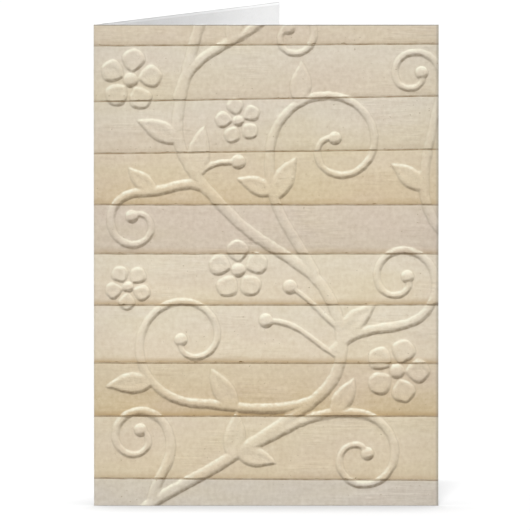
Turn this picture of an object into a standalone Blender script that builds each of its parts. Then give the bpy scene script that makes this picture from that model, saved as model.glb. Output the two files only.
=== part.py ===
"""Folded greeting card that stands open, with raised scrolls and blossoms on its front.

Run with: blender --background --python part.py

Units are metres, +Z is up. The front panel stands upright and faces -Y, the fold is the upright
edge on its left, and the back panel swings away behind it. The origin is the middle of the
bounding box, on the surface that the card stands on.

The card is one sheet, folded once. Lapped board courses are pressed into its front, and the
ornament stands proud of them. As a printed card is, it is made oversize and then trimmed, so the
ornament runs off the cut edges.

Places on the front are (x, z) in the panel's own frame: x from the fold's outermost line to the
right, z up from the bottom edge. The outer face of the front is y = 0 there, and height stands out
towards -Y.
"""

import math

import bmesh
import bpy
from mathutils import Vector

# The sheet
PANEL_WIDTH = 0.127
PANEL_HEIGHT = 0.1778
STOCK_THICKNESS = 0.00045
FOLD_INNER_RADIUS = 0.0003
OPENING_ANGLE_DEG = 57.4
FOLD_FACETS = 12
OVERRUN = 0.001
MERGE_DISTANCE = 0.000001
SMOOTH_ANGLE_DEG = 35.0

# The board courses. Each seam is given by its heights at the panel's left and right edges, as
# shares of the panel's height. A board rolls back towards the seam under it.
SEAM_HEIGHT_SHARES = (
    (0.058, 0.054),
    (0.187, 0.187),
    (0.298, 0.297),
    (0.418, 0.419),
    (0.525, 0.525),
    (0.627, 0.627),
    (0.733, 0.742),
    (0.841, 0.853),
    (0.957, 0.961),
)
SEAM_WIDTH = 0.0003
SEAM_DEPTH = 0.0002
BOARD_ROLL_HEIGHT = 0.0034
BOARD_ROLL_DEPTH = 0.00013
BOARD_ROLL_SHARES = ((0.0, 1.0), (0.32, 0.38), (1.0, 0.0))

# Stems: half a section as shares of the half width and of the height, from edge to edge
ORNAMENT_HEIGHT = 0.00045
FOLD_MARGIN = 0.0004
VINE_WIDTH = 0.0039
STEM_WIDTH = 0.0034
STEM_TIP_WIDTH = 0.0021
STEM_STEP = 0.0034
STEM_PROFILE_SHARES = ((-1.0, 0.0), (-0.52, 0.86), (0.0, 1.0), (0.52, 0.86), (1.0, 0.0))
HANDLE_SHARE = 0.42

# Spirals
SPIRAL_CORE_RADIUS = 0.0034
SPIRAL_STEP_DEG = 17.0
SPIRAL_TIGHTNESS = 1.25
KNOB_RADIUS = 0.0025

# Round bosses: rings as shares of the radius and of the height
BOSS_HEIGHT = 0.0006
BOSS_SIDES = 14
BOSS_RING_SHARES = ((1.0, 0.0), (0.78, 0.62), (0.42, 0.92))

# Leaves and petals: points along each side
LEAF_POINTS = 8
LEAF_RIM_SHARE = 0.66
LEAF_MIDRIB_SHARE = 0.45
LEAF_BEND_DEG = 22.0
PETAL_POINTS = 6
PETAL_COUNT = 5
PETAL_ROOT_SHARE = 0.24
PETAL_LENGTH_SHARE = 0.78
PETAL_WIDTH_SHARE = 0.76
PETAL_RIM_SHARE = 0.68
PETAL_DISH_SHARE = 0.55
BLOSSOM_EYE_SHARE = 0.25

# Buds
BUD_STALK_WIDTH = 0.002
BUD_RADIUS = 0.0028

# The main vine, as shares of the panel's width and height
VINE_SHARES = (
    (0.06, -0.06),
    (0.18, 0.01),
    (0.44, 0.12),
    (0.70, 0.27),
    (0.67, 0.45),
    (0.42, 0.59),
    (0.25, 0.75),
    (0.28, 0.93),
    (0.34, 1.06),
)

# Scrolls: root, heading there, spiral centre, spiral radius, start angle, sweep. Roots and centres
# are shares of the panel's width and height, radii are shares of its width, and angles are
# degrees. A positive sweep is anticlockwise.
SCROLL_SHARES = (
    ((0.44, 0.12), 22, (0.77, 0.10), 0.130, 95, -430),
    ((0.63, 0.215), 195, (0.28, 0.345), 0.185, -85, -455),
    ((0.70, 0.325), 50, (0.885, 0.47), 0.115, -30, 410),
    ((0.64, 0.485), 118, (0.70, 0.745), 0.190, 185, -455),
    ((0.34, 0.65), 135, (0.125, 0.585), 0.095, 80, 400),
    ((0.245, 0.85), 75, (0.575, 0.975), 0.090, 140, -390),
    ((0.17, 0.005), 85, (0.125, 0.14), 0.095, 5, 420),
    ((1.04, 0.55), 140, (0.925, 0.895), 0.085, -15, 390),
)

# Leaves: the stem that carries each (the vine, or a scroll by its place above), how far along it,
# the side (1 is left of its heading), length and width as shares of the panel's width, and how far
# the leaf spreads from the stem in degrees
VINE = -1
LEAF_SHARES = (
    (VINE, 0.19, 1, 0.142, 0.063, 50),
    (VINE, 0.20, -1, 0.126, 0.059, 45),
    (VINE, 0.43, -1, 0.142, 0.063, 50),
    (VINE, 0.735, -1, 0.157, 0.067, 45),
    (VINE, 0.79, 1, 0.142, 0.063, 48),
    (0, 0.30, 1, 0.126, 0.059, 50),
    (1, 0.19, -1, 0.142, 0.063, 50),
    (1, 0.42, 1, 0.142, 0.063, 50),
    (2, 0.40, -1, 0.110, 0.055, 50),
    (3, 0.20, -1, 0.142, 0.063, 45),
    (3, 0.215, 1, 0.118, 0.055, 50),
    (3, 0.46, 1, 0.130, 0.063, 50),
    (4, 0.27, -1, 0.110, 0.051, 50),
    (5, 0.30, 1, 0.110, 0.051, 45),
    (7, 0.20, 1, 0.126, 0.059, 45),
)

# Blossoms: centre as shares of the panel's width and height, radius as a share of its width, and
# how far the blossom is turned in degrees
BLOSSOM_SHARES = (
    ((0.108, 0.885), 0.091, 10),
    ((0.88, 0.28), 0.094, 0),
    ((0.42, 0.49), 0.087, 20),
    ((0.42, 0.80), 0.067, 30),
    ((0.10, 0.455), 0.067, 50),
)

# Buds: root and heading, tip and heading, on stalks that leave the vine
BUD_SHARES = (
    ((0.71, 0.31), 150, (0.50, 0.385), 180),
    ((0.66, 0.40), 140, (0.57, 0.455), 150),
    ((0.30, 0.68), 60, (0.42, 0.715), 0),
)

# The print: base colours of the boards from the lowest to the highest, and of the bare card
PALE_CREAM = (0.69, 0.61, 0.47)
COOL_GREY = (0.61, 0.55, 0.45)
SAND = (0.67, 0.56, 0.41)
WARM_TAN = (0.64, 0.52, 0.37)
BOARD_COLOURS = (
    COOL_GREY,
    SAND,
    WARM_TAN,
    PALE_CREAM,
    PALE_CREAM,
    COOL_GREY,
    WARM_TAN,
    PALE_CREAM,
    PALE_CREAM,
    SAND,
)
ORNAMENT_COLOUR = (0.74, 0.66, 0.52)
SEAM_COLOUR = (0.26, 0.20, 0.13)
PAPER_COLOUR = (0.86, 0.86, 0.85)
PRINT_ROUGHNESS = 0.6
PAPER_ROUGHNESS = 0.8

FOLD_OUTER_RADIUS = FOLD_INNER_RADIUS + STOCK_THICKNESS
ORNAMENT_ROOT = (STOCK_THICKNESS + max(SEAM_DEPTH, BOARD_ROLL_DEPTH)) / 2
TOP_HEIGHT = max(ORNAMENT_HEIGHT, BOSS_HEIGHT)


def heading(degrees):
    """The unit vector at an angle, anticlockwise from +X."""
    return Vector((math.cos(math.radians(degrees)), math.sin(math.radians(degrees))))


def on_panel(share):
    """A place on the front, from shares of the panel's width and height."""
    return Vector((share[0] * PANEL_WIDTH, share[1] * PANEL_HEIGHT))


def bezier(start, start_heading, end, end_heading):
    """Points on the curve that leaves start at one heading and reaches end at another."""
    span = (end - start).length
    first = start + heading(start_heading) * span * HANDLE_SHARE
    second = end - heading(end_heading) * span * HANDLE_SHARE
    count = max(4, round(span / STEM_STEP))
    points = []
    for i in range(count + 1):
        t = i / count
        s = 1 - t
        points.append(s**3 * start + 3 * s * s * t * first + 3 * s * t * t * second + t**3 * end)
    return points


def smooth_curve(knots):
    """Points on a Catmull-Rom curve through the knots."""
    points = []
    for i, (b, c) in enumerate(zip(knots, knots[1:])):
        a = knots[max(i - 1, 0)]
        d = knots[min(i + 2, len(knots) - 1)]
        count = max(2, round((c - b).length / STEM_STEP))
        for k in range(count):
            t = k / count
            square = (2 * a - 5 * b + 4 * c - d) * t * t
            cube = (3 * b - a - 3 * c + d) * t**3
            points.append((2 * b + (c - a) * t + square + cube) / 2)
    return points + [knots[-1]]


def spiral(centre, radius, start_angle, sweep):
    """Points on a spiral that winds in from radius to the core."""
    count = round(abs(sweep) / SPIRAL_STEP_DEG)
    points = []
    for i in range(count + 1):
        t = i / count
        reach = SPIRAL_CORE_RADIUS + (radius - SPIRAL_CORE_RADIUS) * (1 - t) ** SPIRAL_TIGHTNESS
        points.append(centre + heading(start_angle + sweep * t) * reach)
    return points


def scroll_path(root, root_heading, centre, radius_share, start_angle, sweep):
    """A scroll's centreline: a curve from its root, which runs into a spiral."""
    wound = spiral(on_panel(centre), radius_share * PANEL_WIDTH, start_angle, sweep)
    entry = wound[1] - wound[0]
    entry_heading = math.degrees(math.atan2(entry.y, entry.x))
    return bezier(on_panel(root), root_heading, wound[0], entry_heading)[:-1] + wound


def directions(path):
    """The unit direction of a path at each of its points."""
    found = []
    for i in range(len(path)):
        before, after = path[max(i - 1, 0)], path[min(i + 1, len(path) - 1)]
        found.append((after - before).normalized())
    return found


def distances(path):
    """How far along a path each of its points lies, from 0 to 1."""
    far = [0.0]
    for a, b in zip(path, path[1:]):
        far.append(far[-1] + (b - a).length)
    return [d / far[-1] for d in far]


def place_along(path, share):
    """The point and the heading in degrees at a share of a path's length."""
    far = distances(path)
    i = next(k for k, d in enumerate(far) if d >= share)
    a, b = path[i - 1], path[i]
    point = a.lerp(b, (share - far[i - 1]) / (far[i] - far[i - 1]))
    return point, math.degrees(math.atan2((b - a).y, (b - a).x))


def left_of(direction):
    return Vector((-direction.y, direction.x))


def frame_point(place, height):
    """A place on the front at a height above its face, as a point in three dimensions."""
    return Vector((place.x, -height, place.y))


def mesh_object(name, bm, collection, origin):
    """An object from a bmesh, with its faces turned outwards."""
    bmesh.ops.recalc_face_normals(bm, faces=bm.faces)
    mesh = bpy.data.meshes.new(name)
    bm.to_mesh(mesh)
    bm.free()
    obj = bpy.data.objects.new(name, mesh)
    collection.objects.link(obj)
    obj.parent = origin
    return obj


def loft(rings, cap_top=True):
    """A closed bmesh through rings of points, each ring with the same number of them."""
    bm = bmesh.new()
    loops = [[bm.verts.new(point) for point in ring] for ring in rings]
    for lower, upper in zip(loops, loops[1:]):
        for i in range(len(lower)):
            k = (i + 1) % len(lower)
            bm.faces.new((lower[i], lower[k], upper[k], upper[i]))
    bm.faces.new(reversed(loops[0]))
    if cap_top:
        bm.faces.new(loops[-1])
    return bm


def clip_at_fold(bm):
    """Cuts off what would run on to the fold."""
    edge = FOLD_OUTER_RADIUS + FOLD_MARGIN
    everything = bm.verts[:] + bm.edges[:] + bm.faces[:]
    bmesh.ops.bisect_plane(
        bm, geom=everything, plane_co=(edge, 0, 0), plane_no=(-1, 0, 0), clear_outer=True
    )
    open_edges = [e for e in bm.edges if e.is_boundary]
    if open_edges:
        bmesh.ops.holes_fill(bm, edges=open_edges)


class Ornament:
    """The raised pieces, gathered in a collection that the card is joined with."""

    def __init__(self, origin):
        self.collection = helper_collection("ornament")
        self.origin = origin

    def add(self, name, bm):
        clip_at_fold(bm)
        if bm.faces:
            hide(mesh_object(name, bm, self.collection, self.origin))
        else:
            bm.free()

    def stem(self, name, path, root_width, tip_width):
        """A tapered stem with an arched section."""
        rings = []
        for point, along, share in zip(path, directions(path), distances(path)):
            half = (root_width + (tip_width - root_width) * share) / 2
            side = left_of(along)
            arch = [
                frame_point(point + side * half * across, ORNAMENT_HEIGHT * rise)
                for across, rise in STEM_PROFILE_SHARES
            ]
            foot = [frame_point(point + side * half * across, -ORNAMENT_ROOT) for across in (1, -1)]
            rings.append(arch + foot)
        self.add(name, loft(rings))

    def boss(self, name, centre, radius, height):
        """A low dome."""
        turns = [heading(360 * i / BOSS_SIDES) for i in range(BOSS_SIDES)]
        rings = [[frame_point(centre + turn * radius, -ORNAMENT_ROOT) for turn in turns]]
        for reach, rise in BOSS_RING_SHARES:
            rings.append(
                [frame_point(centre + turn * radius * reach, height * rise) for turn in turns]
            )
        rings.append([frame_point(centre, height)] * BOSS_SIDES)
        self.add(name, pointed(rings))

    def leaf(self, name, base, base_heading, length, width, bend):
        """A leaf that rises from its edge to a rim, and falls to a midrib between the two halves."""
        spine = bent_line(base, base_heading, length, bend, LEAF_POINTS)

        def half_width(t):
            return width / 2 * math.sin(math.pi * t**0.8) ** 0.9

        self.add(name, blade(spine, half_width, LEAF_RIM_SHARE, LEAF_MIDRIB_SHARE))

    def petal(self, name, base, base_heading, length, width):
        """A petal, rounder at its outer end, and dished along its middle."""
        spine = bent_line(base, base_heading, length, 0, PETAL_POINTS)

        def half_width(t):
            return width / 2 * math.sin(math.pi * t**1.25) ** 0.6

        self.add(name, blade(spine, half_width, PETAL_RIM_SHARE, PETAL_DISH_SHARE))

    def blossom(self, name, centre, radius, turn):
        """Five petals round an eye."""
        for k in range(PETAL_COUNT):
            spoke = turn + 360 * k / PETAL_COUNT
            base = centre + heading(spoke) * radius * PETAL_ROOT_SHARE
            self.petal(
                f"{name}_petal_{k + 1}",
                base,
                spoke,
                radius * PETAL_LENGTH_SHARE,
                radius * PETAL_WIDTH_SHARE,
            )
        self.boss(f"{name}_eye", centre, radius * BLOSSOM_EYE_SHARE, BOSS_HEIGHT)


def bent_line(start, start_heading, length, bend, count):
    """Points along a line that bends evenly, with count spans."""
    points = [start]
    for i in range(count):
        turned = start_heading + bend * ((i + 0.5) / count - 0.5)
        points.append(points[-1] + heading(turned) * length / count)
    return points


def outline(spine, half_width, inset):
    """The points round a blade: its base, its left side, its tip, its right side. An inset under 1
    draws them in towards the middle of the spine."""
    count = len(spine) - 1
    middle = spine[count // 2]
    cores = [point.lerp(middle, 1 - math.sqrt(inset)) for point in spine]
    sides = [left_of(along) for along in directions(spine)]
    reach = [half_width(i / count) * inset for i in range(count + 1)]
    inner = range(1, count)
    left = [cores[i] + sides[i] * reach[i] for i in inner]
    right = [cores[i] - sides[i] * reach[i] for i in inner]
    return [cores[0]] + left + [cores[-1]] + right[::-1]


def blade(spine, half_width, rim_share, valley_share):
    """A leaf or petal as a closed bmesh: it rises from its edge to a rim, and dips to a valley
    along its spine."""
    tip = len(spine) - 1
    edge = outline(spine, half_width, 1)
    rim = outline(spine, half_width, rim_share)
    valley = outline(spine, lambda t: 0, rim_share)
    dips = [1 if i in (0, tip) else valley_share for i in range(len(valley))]
    rings = [
        [frame_point(p, -ORNAMENT_ROOT) for p in edge],
        [frame_point(p, 0) for p in edge],
        [frame_point(p, ORNAMENT_HEIGHT) for p in rim],
        [frame_point(p, ORNAMENT_HEIGHT * dip) for p, dip in zip(valley, dips)],
    ]
    return pointed(rings)


def pointed(rings):
    """A loft whose last ring closes on itself, in a point or along a line."""
    bm = loft(rings, cap_top=False)
    bmesh.ops.remove_doubles(bm, verts=bm.verts, dist=MERGE_DISTANCE)
    return bm


def helper_collection(name):
    """A collection of shapes that the card is joined with or cut by."""
    collection = bpy.data.collections.new(name)
    bpy.context.scene.collection.children.link(collection)
    return collection


def hide(obj):
    """Marks an object as a helper that isn't part of the model."""
    obj.hide_render = True
    obj.display_type = "WIRE"


def clear_scene():
    for obj in list(bpy.data.objects):
        bpy.data.objects.remove(obj)


def sheet_plan():
    """The folded sheet seen from above, as (x, y) points: its outer face, then its inner one."""
    centre = Vector((FOLD_OUTER_RADIUS, FOLD_OUTER_RADIUS))
    back = heading(OPENING_ANGLE_DEG)
    flat = PANEL_WIDTH - FOLD_OUTER_RADIUS
    first, last = 270.0, OPENING_ANGLE_DEG + 90.0
    turns = [heading(first + (last - first) * i / FOLD_FACETS) for i in range(FOLD_FACETS + 1)]
    outer = [centre + turn * FOLD_OUTER_RADIUS for turn in turns]
    inner = [centre + turn * FOLD_INNER_RADIUS for turn in turns]
    front_edge = PANEL_WIDTH + OVERRUN
    outer_face = [Vector((front_edge, 0))] + outer + [outer[-1] + back * flat]
    inner_face = [Vector((front_edge, STOCK_THICKNESS))] + inner + [inner[-1] + back * flat]
    return outer_face + inner_face[::-1]


def make_sheet(origin):
    """The folded sheet, a little oversize at the edges that are trimmed."""
    plan = sheet_plan()
    heights = (-OVERRUN, PANEL_HEIGHT + OVERRUN)
    bm = loft([[Vector((p.x, p.y, z)) for p in plan] for z in heights])
    return mesh_object("card", bm, bpy.context.scene.collection, origin)


def across_front(name, sections, collection, origin):
    """A cutter that runs across the front, from a section left of it to one right of it."""
    ends = (-OVERRUN, PANEL_WIDTH + 2 * OVERRUN)
    rings = [[Vector((x, y, z)) for y, z in section] for x, section in zip(ends, sections)]
    hide(mesh_object(name, loft(rings), collection, origin))


def make_rolls(origin):
    """The hollows above each seam, where the board over it rolls back."""
    collection = helper_collection("board_rolls")
    for n, seam in enumerate(SEAM_HEIGHT_SHARES):
        sections = []
        for share in seam:
            z = share * PANEL_HEIGHT
            rolled = [
                (BOARD_ROLL_DEPTH * depth, z + BOARD_ROLL_HEIGHT * rise)
                for rise, depth in BOARD_ROLL_SHARES
            ]
            sections.append([(-OVERRUN, z)] + rolled + [(-OVERRUN, rolled[-1][1])])
        across_front(f"board_roll_{n + 1}", sections, collection, origin)
    return collection


def make_seams(origin):
    """The joints between the boards, cut through the ornament too."""
    collection = helper_collection("seams")
    for n, seam in enumerate(SEAM_HEIGHT_SHARES):
        sections = []
        for share in seam:
            z = share * PANEL_HEIGHT
            low, high = z - SEAM_WIDTH / 2, z + SEAM_WIDTH / 2
            outside = -TOP_HEIGHT - OVERRUN
            sections.append(
                [(outside, low), (SEAM_DEPTH, low), (SEAM_DEPTH, high), (outside, high)]
            )
        across_front(f"seam_{n + 1}", sections, collection, origin)
    return collection


def make_trim_block(origin):
    """What the guillotine leaves: the finished card lies inside it."""
    bm = bmesh.new()
    bmesh.ops.create_cube(bm, size=1)
    low = Vector((-PANEL_WIDTH, -PANEL_WIDTH, 0))
    high = Vector((PANEL_WIDTH, 2 * PANEL_WIDTH, PANEL_HEIGHT))
    for vert in bm.verts:
        vert.co = Vector(high[i] if vert.co[i] > 0 else low[i] for i in range(3))
    block = mesh_object("trim_block", bm, bpy.context.scene.collection, origin)
    hide(block)
    return block


def make_ornament(origin):
    """Every raised piece on the front."""
    ornament = Ornament(origin)
    vine = smooth_curve([on_panel(share) for share in VINE_SHARES])
    scrolls = [scroll_path(*scroll) for scroll in SCROLL_SHARES]
    ornament.stem("vine", vine, VINE_WIDTH, STEM_WIDTH)
    for n, path in enumerate(scrolls):
        ornament.stem(f"scroll_{n + 1}", path, STEM_WIDTH, STEM_TIP_WIDTH)
        ornament.boss(f"knob_{n + 1}", path[-1], KNOB_RADIUS, BOSS_HEIGHT)
    for n, (carrier, share, side, length, width, spread) in enumerate(LEAF_SHARES):
        path = vine if carrier == VINE else scrolls[carrier]
        base, along = place_along(path, share)
        ornament.leaf(
            f"leaf_{n + 1}",
            base,
            along + side * spread,
            length * PANEL_WIDTH,
            width * PANEL_WIDTH,
            side * LEAF_BEND_DEG,
        )
    for n, (centre, radius, turn) in enumerate(BLOSSOM_SHARES):
        ornament.blossom(f"blossom_{n + 1}", on_panel(centre), radius * PANEL_WIDTH, turn)
    for n, (root, root_heading, tip, tip_heading) in enumerate(BUD_SHARES):
        stalk = bezier(on_panel(root), root_heading, on_panel(tip), tip_heading)
        ornament.stem(f"stalk_{n + 1}", stalk, BUD_STALK_WIDTH, BUD_STALK_WIDTH)
        ornament.boss(f"bud_{n + 1}", stalk[-1], BUD_RADIUS, BOSS_HEIGHT)
    return ornament.collection


def boolean(obj, name, operation, other):
    """A Boolean modifier with an object or a whole collection."""
    modifier = obj.modifiers.new(name, "BOOLEAN")
    modifier.operation = operation
    modifier.solver = "EXACT"
    if isinstance(other, bpy.types.Collection):
        modifier.operand_type = "COLLECTION"
        modifier.collection = other
    else:
        modifier.object = other


def apply_modifiers(obj):
    """Puts the evaluated mesh in the place of the plain one."""
    bpy.context.view_layer.update()
    graph = bpy.context.evaluated_depsgraph_get()
    made = bpy.data.meshes.new_from_object(obj.evaluated_get(graph), depsgraph=graph)
    obj.modifiers.clear()
    obj.data = made


def make_material(name, colour, roughness):
    material = bpy.data.materials.new(name)
    material.use_nodes = True
    shader = material.node_tree.nodes["Principled BSDF"]
    shader.inputs["Base Color"].default_value = (*colour, 1)
    shader.inputs["Roughness"].default_value = roughness
    shader.inputs["Metallic"].default_value = 0
    return material


def board_at(place):
    """Which board a place on the front lies on, counted from the bottom."""
    across = place.x / PANEL_WIDTH
    seams = (left + (right - left) * across for left, right in SEAM_HEIGHT_SHARES)
    return sum(place.z > seam * PANEL_HEIGHT for seam in seams)


def paint(mesh):
    """Gives each face its field of colour."""
    mesh.materials.clear()
    mesh.materials.append(make_material("bare_card", PAPER_COLOUR, PAPER_ROUGHNESS))
    mesh.materials.append(make_material("ornament_print", ORNAMENT_COLOUR, PRINT_ROUGHNESS))
    mesh.materials.append(make_material("seam_print", SEAM_COLOUR, PRINT_ROUGHNESS))
    first_board = len(mesh.materials)
    for n, colour in enumerate(BOARD_COLOURS):
        mesh.materials.append(make_material(f"board_{n + 1}_print", colour, PRINT_ROUGHNESS))
    for face in mesh.polygons:
        lowest = min(mesh.vertices[i].co.y for i in face.vertices)
        face.material_index = 0
        if face.normal.y < 0 and face.center.y < STOCK_THICKNESS / 2:
            if face.center.y > BOARD_ROLL_DEPTH:
                face.material_index = 2
            elif lowest < -MERGE_DISTANCE:
                face.material_index = 1
            else:
                face.material_index = first_board + board_at(face.center)


def make_card():
    """The card, standing with the middle of its bounding box over the origin."""
    origin = bpy.data.objects.new("card_origin", None)
    bpy.context.scene.collection.objects.link(origin)
    card = make_sheet(origin)
    boolean(card, "roll_boards", "DIFFERENCE", make_rolls(origin))
    boolean(card, "raise_ornament", "UNION", make_ornament(origin))
    boolean(card, "cut_seams", "DIFFERENCE", make_seams(origin))
    boolean(card, "trim", "INTERSECT", make_trim_block(origin))
    apply_modifiers(card)
    paint(card.data)
    card.data.shade_smooth()
    card.data.set_sharp_from_angle(angle=math.radians(SMOOTH_ANGLE_DEG))
    back_depth = max(p.y for p in sheet_plan())
    origin.location = (-PANEL_WIDTH / 2, -(back_depth - TOP_HEIGHT) / 2, 0)


clear_scene()
make_card()
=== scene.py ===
"""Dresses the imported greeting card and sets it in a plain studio.

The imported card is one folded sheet. Here it is made again as one closed sheet with the same form,
with the relief of its front on a finer mesh, and with three finishes: the printed front, the bare
white card, and the cut edges. Lengths are in metres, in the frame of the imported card.

Places on the front are (across, up) in the panel's own frame: across from the fold's outermost line
to the right, up from the bottom edge. Heights stand out of the front towards the viewer.
"""

import logging
import math
from collections.abc import Callable, Iterable, Mapping, Sequence
from dataclasses import dataclass, field
from enum import Enum, IntEnum

import bpy
import numpy as np
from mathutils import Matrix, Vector
from mathutils.geometry import delaunay_2d_cdt


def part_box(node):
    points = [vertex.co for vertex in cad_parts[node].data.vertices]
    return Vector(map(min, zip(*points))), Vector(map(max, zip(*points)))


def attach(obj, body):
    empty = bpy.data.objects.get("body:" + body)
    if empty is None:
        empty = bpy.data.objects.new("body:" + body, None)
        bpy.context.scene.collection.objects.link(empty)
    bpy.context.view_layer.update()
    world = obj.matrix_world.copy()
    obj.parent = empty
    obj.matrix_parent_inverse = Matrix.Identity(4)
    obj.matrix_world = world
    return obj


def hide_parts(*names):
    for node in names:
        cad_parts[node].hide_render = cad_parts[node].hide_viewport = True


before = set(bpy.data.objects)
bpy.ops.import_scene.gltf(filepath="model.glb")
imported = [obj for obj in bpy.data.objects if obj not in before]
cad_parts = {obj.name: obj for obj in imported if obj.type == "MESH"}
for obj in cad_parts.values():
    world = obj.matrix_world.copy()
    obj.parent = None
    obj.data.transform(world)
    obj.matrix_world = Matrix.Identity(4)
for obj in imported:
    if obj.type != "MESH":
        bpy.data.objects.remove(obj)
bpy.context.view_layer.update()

LOG = logging.getLogger("greeting_card")
CARD_NODE = "card"
PIECE_NAME = "printed_sheet"
BODY = "root"

Colour = tuple[float, float, float, float]
Pair = tuple[float, float]
Socket = bpy.types.NodeSocket
RimPoint = tuple[int, float, float, float]

# The tone curve of a screen: straight up to its limit, and a power above it
CHANNEL_MAX = 255
CURVE_LIMIT = 0.04045
CURVE_SLOPE = 12.92
CURVE_OFFSET = 0.055
CURVE_POWER = 2.4

FRONT_HEADING_DEG = 270
QUAD_CORNERS = 4
MM = 1000.0
NOISE_ROUGHNESS = 0.55
BUMP_HEIGHT = 0.00003
WHITE: Colour = (1.0, 1.0, 1.0, 1.0)


def printed(red: int, green: int, blue: int) -> Colour:
    """Turns a colour as it looks on a screen into the linear colour of a shader.

    Args:
        red: The red channel, 0 to 255.
        green: The green channel.
        blue: The blue channel.

    Returns:
        The linear colour, opaque.
    """
    shares = [channel / CHANNEL_MAX for channel in (red, green, blue)]
    linear = [
        ((share + CURVE_OFFSET) / (1 + CURVE_OFFSET)) ** CURVE_POWER
        if share > CURVE_LIMIT
        else share / CURVE_SLOPE
        for share in shares
    ]
    return (linear[0], linear[1], linear[2], 1.0)


class Face(IntEnum):
    """The finishes of the sheet, in the order of its material slots."""

    PRINT = 0
    BARE = 1
    CUT = 2


class Side(IntEnum):
    """The side of a stem that a leaf grows from, seen along the stem's heading."""

    LEFT = 1
    RIGHT = -1


class Tint(Enum):
    """The tones of the painted boards: the colour high on the board, and low on it."""

    SAND_GREY = (printed(212, 203, 183), printed(211, 197, 175))
    PALE = (printed(216, 206, 188), printed(212, 199, 176))
    WARM = (printed(214, 199, 173), printed(209, 190, 158))
    OCHRE = (printed(211, 195, 168), printed(203, 183, 147))
    ROSE_GREY = (printed(210, 196, 178), printed(206, 192, 173))
    CREAM = (printed(221, 210, 189), printed(221, 207, 182))
    SAND = (printed(216, 202, 177), printed(214, 198, 170))
    COOL_GREY = (printed(208, 199, 185), printed(207, 199, 186))


def heading(degrees: float) -> np.ndarray:
    """The unit vector at an angle, anticlockwise from the right."""
    return np.array((math.cos(math.radians(degrees)), math.sin(math.radians(degrees))))


def smooth_share(values: np.ndarray, low: float, high: float) -> np.ndarray:
    """Values eased from 0 at low to 1 at high."""
    share = np.clip((values - low) / (high - low), 0, 1)
    return share * share * (3 - 2 * share)


@dataclass(frozen=True)
class Sheet:
    """The folded sheet: its sizes, and where it stands in the frame.

    A place on it has three numbers: along, from the front's free edge round the fold to the back's
    free edge; up, from the bottom edge; and depth, from the outer face into the card.
    """

    left: float
    face: float
    width: float
    height: float
    thickness: float = 0.00045
    inner_radius: float = 0.0003
    opening_deg: float = 57.4
    edge_break: float = 0.00008

    @property
    def outer_radius(self) -> float:
        """The radius of the fold's outer face."""
        return self.inner_radius + self.thickness

    @property
    def flat(self) -> float:
        """The length of each flat panel, from its free edge to the start of the fold."""
        return self.width - self.outer_radius

    @property
    def arc(self) -> float:
        """The length of the fold along its outer face."""
        return math.radians(180 - self.opening_deg) * self.outer_radius

    @property
    def length(self) -> float:
        """The length of the whole sheet, along its outer face."""
        return 2 * self.flat + self.arc

    def points(self, along: np.ndarray, up: np.ndarray, depth: np.ndarray) -> np.ndarray:
        """Finds places of the sheet in the frame.

        Args:
            along: How far each place lies from the front's free edge, round the fold.
            up: How high each place lies.
            depth: How deep each place lies in the card. Below zero it stands proud.

        Returns:
            The points, one row of three numbers for each place.
        """
        turned = np.clip(along - self.flat, 0, self.arc) / self.outer_radius
        onward = np.clip(along - self.flat - self.arc, 0, None)
        angle = math.radians(FRONT_HEADING_DEG) - turned
        reach = self.outer_radius - depth
        straight = np.clip(self.flat - along, 0, None)
        back = heading(self.opening_deg)
        x = self.outer_radius + np.cos(angle) * reach + straight + back[0] * onward
        y = self.outer_radius + np.sin(angle) * reach + back[1] * onward
        return np.stack([self.left + x, self.face + y, np.broadcast_to(up, x.shape)], axis=-1)


@dataclass(frozen=True)
class BoardCourses:
    """The board courses pressed into the front, each lapping back over the seam beneath it."""

    seams: tuple[Pair, ...] = (
        (0.058, 0.054),
        (0.187, 0.187),
        (0.298, 0.297),
        (0.418, 0.419),
        (0.525, 0.525),
        (0.627, 0.627),
        (0.733, 0.742),
        (0.841, 0.853),
        (0.957, 0.961),
    )
    tints: tuple[Tint, ...] = (
        Tint.COOL_GREY,
        Tint.SAND,
        Tint.OCHRE,
        Tint.CREAM,
        Tint.CREAM,
        Tint.ROSE_GREY,
        Tint.WARM,
        Tint.PALE,
        Tint.PALE,
        Tint.SAND_GREY,
    )
    # How strongly each seam's lap is warmed and darkened with painted shade.
    laps: tuple[float, ...] = (0.9, 2.3, 1.9, 1.7, 1.2, 1.0, 0.45, 0.2, 0.6)
    groove_depth: float = 0.00005
    crown_height: float = 0.0011
    crown_depth: float = 0.00003
    roll_height: float = 0.0034
    roll_depth: float = 0.0001
    roll_power: float = 2.5

    def borders(self, sheet: Sheet, across: np.ndarray) -> np.ndarray:
        """Finds where the boards end.

        Args:
            sheet: The folded sheet.
            across: The columns of places on the front.

        Returns:
            One row for each border from the lowest to the highest, the trimmed edges among them.
        """
        share = across / sheet.width
        rows = [np.full_like(across, sheet.edge_break)]
        rows += [(left + (right - left) * share) * sheet.height for left, right in self.seams]
        rows.append(np.full_like(across, sheet.height - sheet.edge_break))
        return np.stack(rows)


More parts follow.
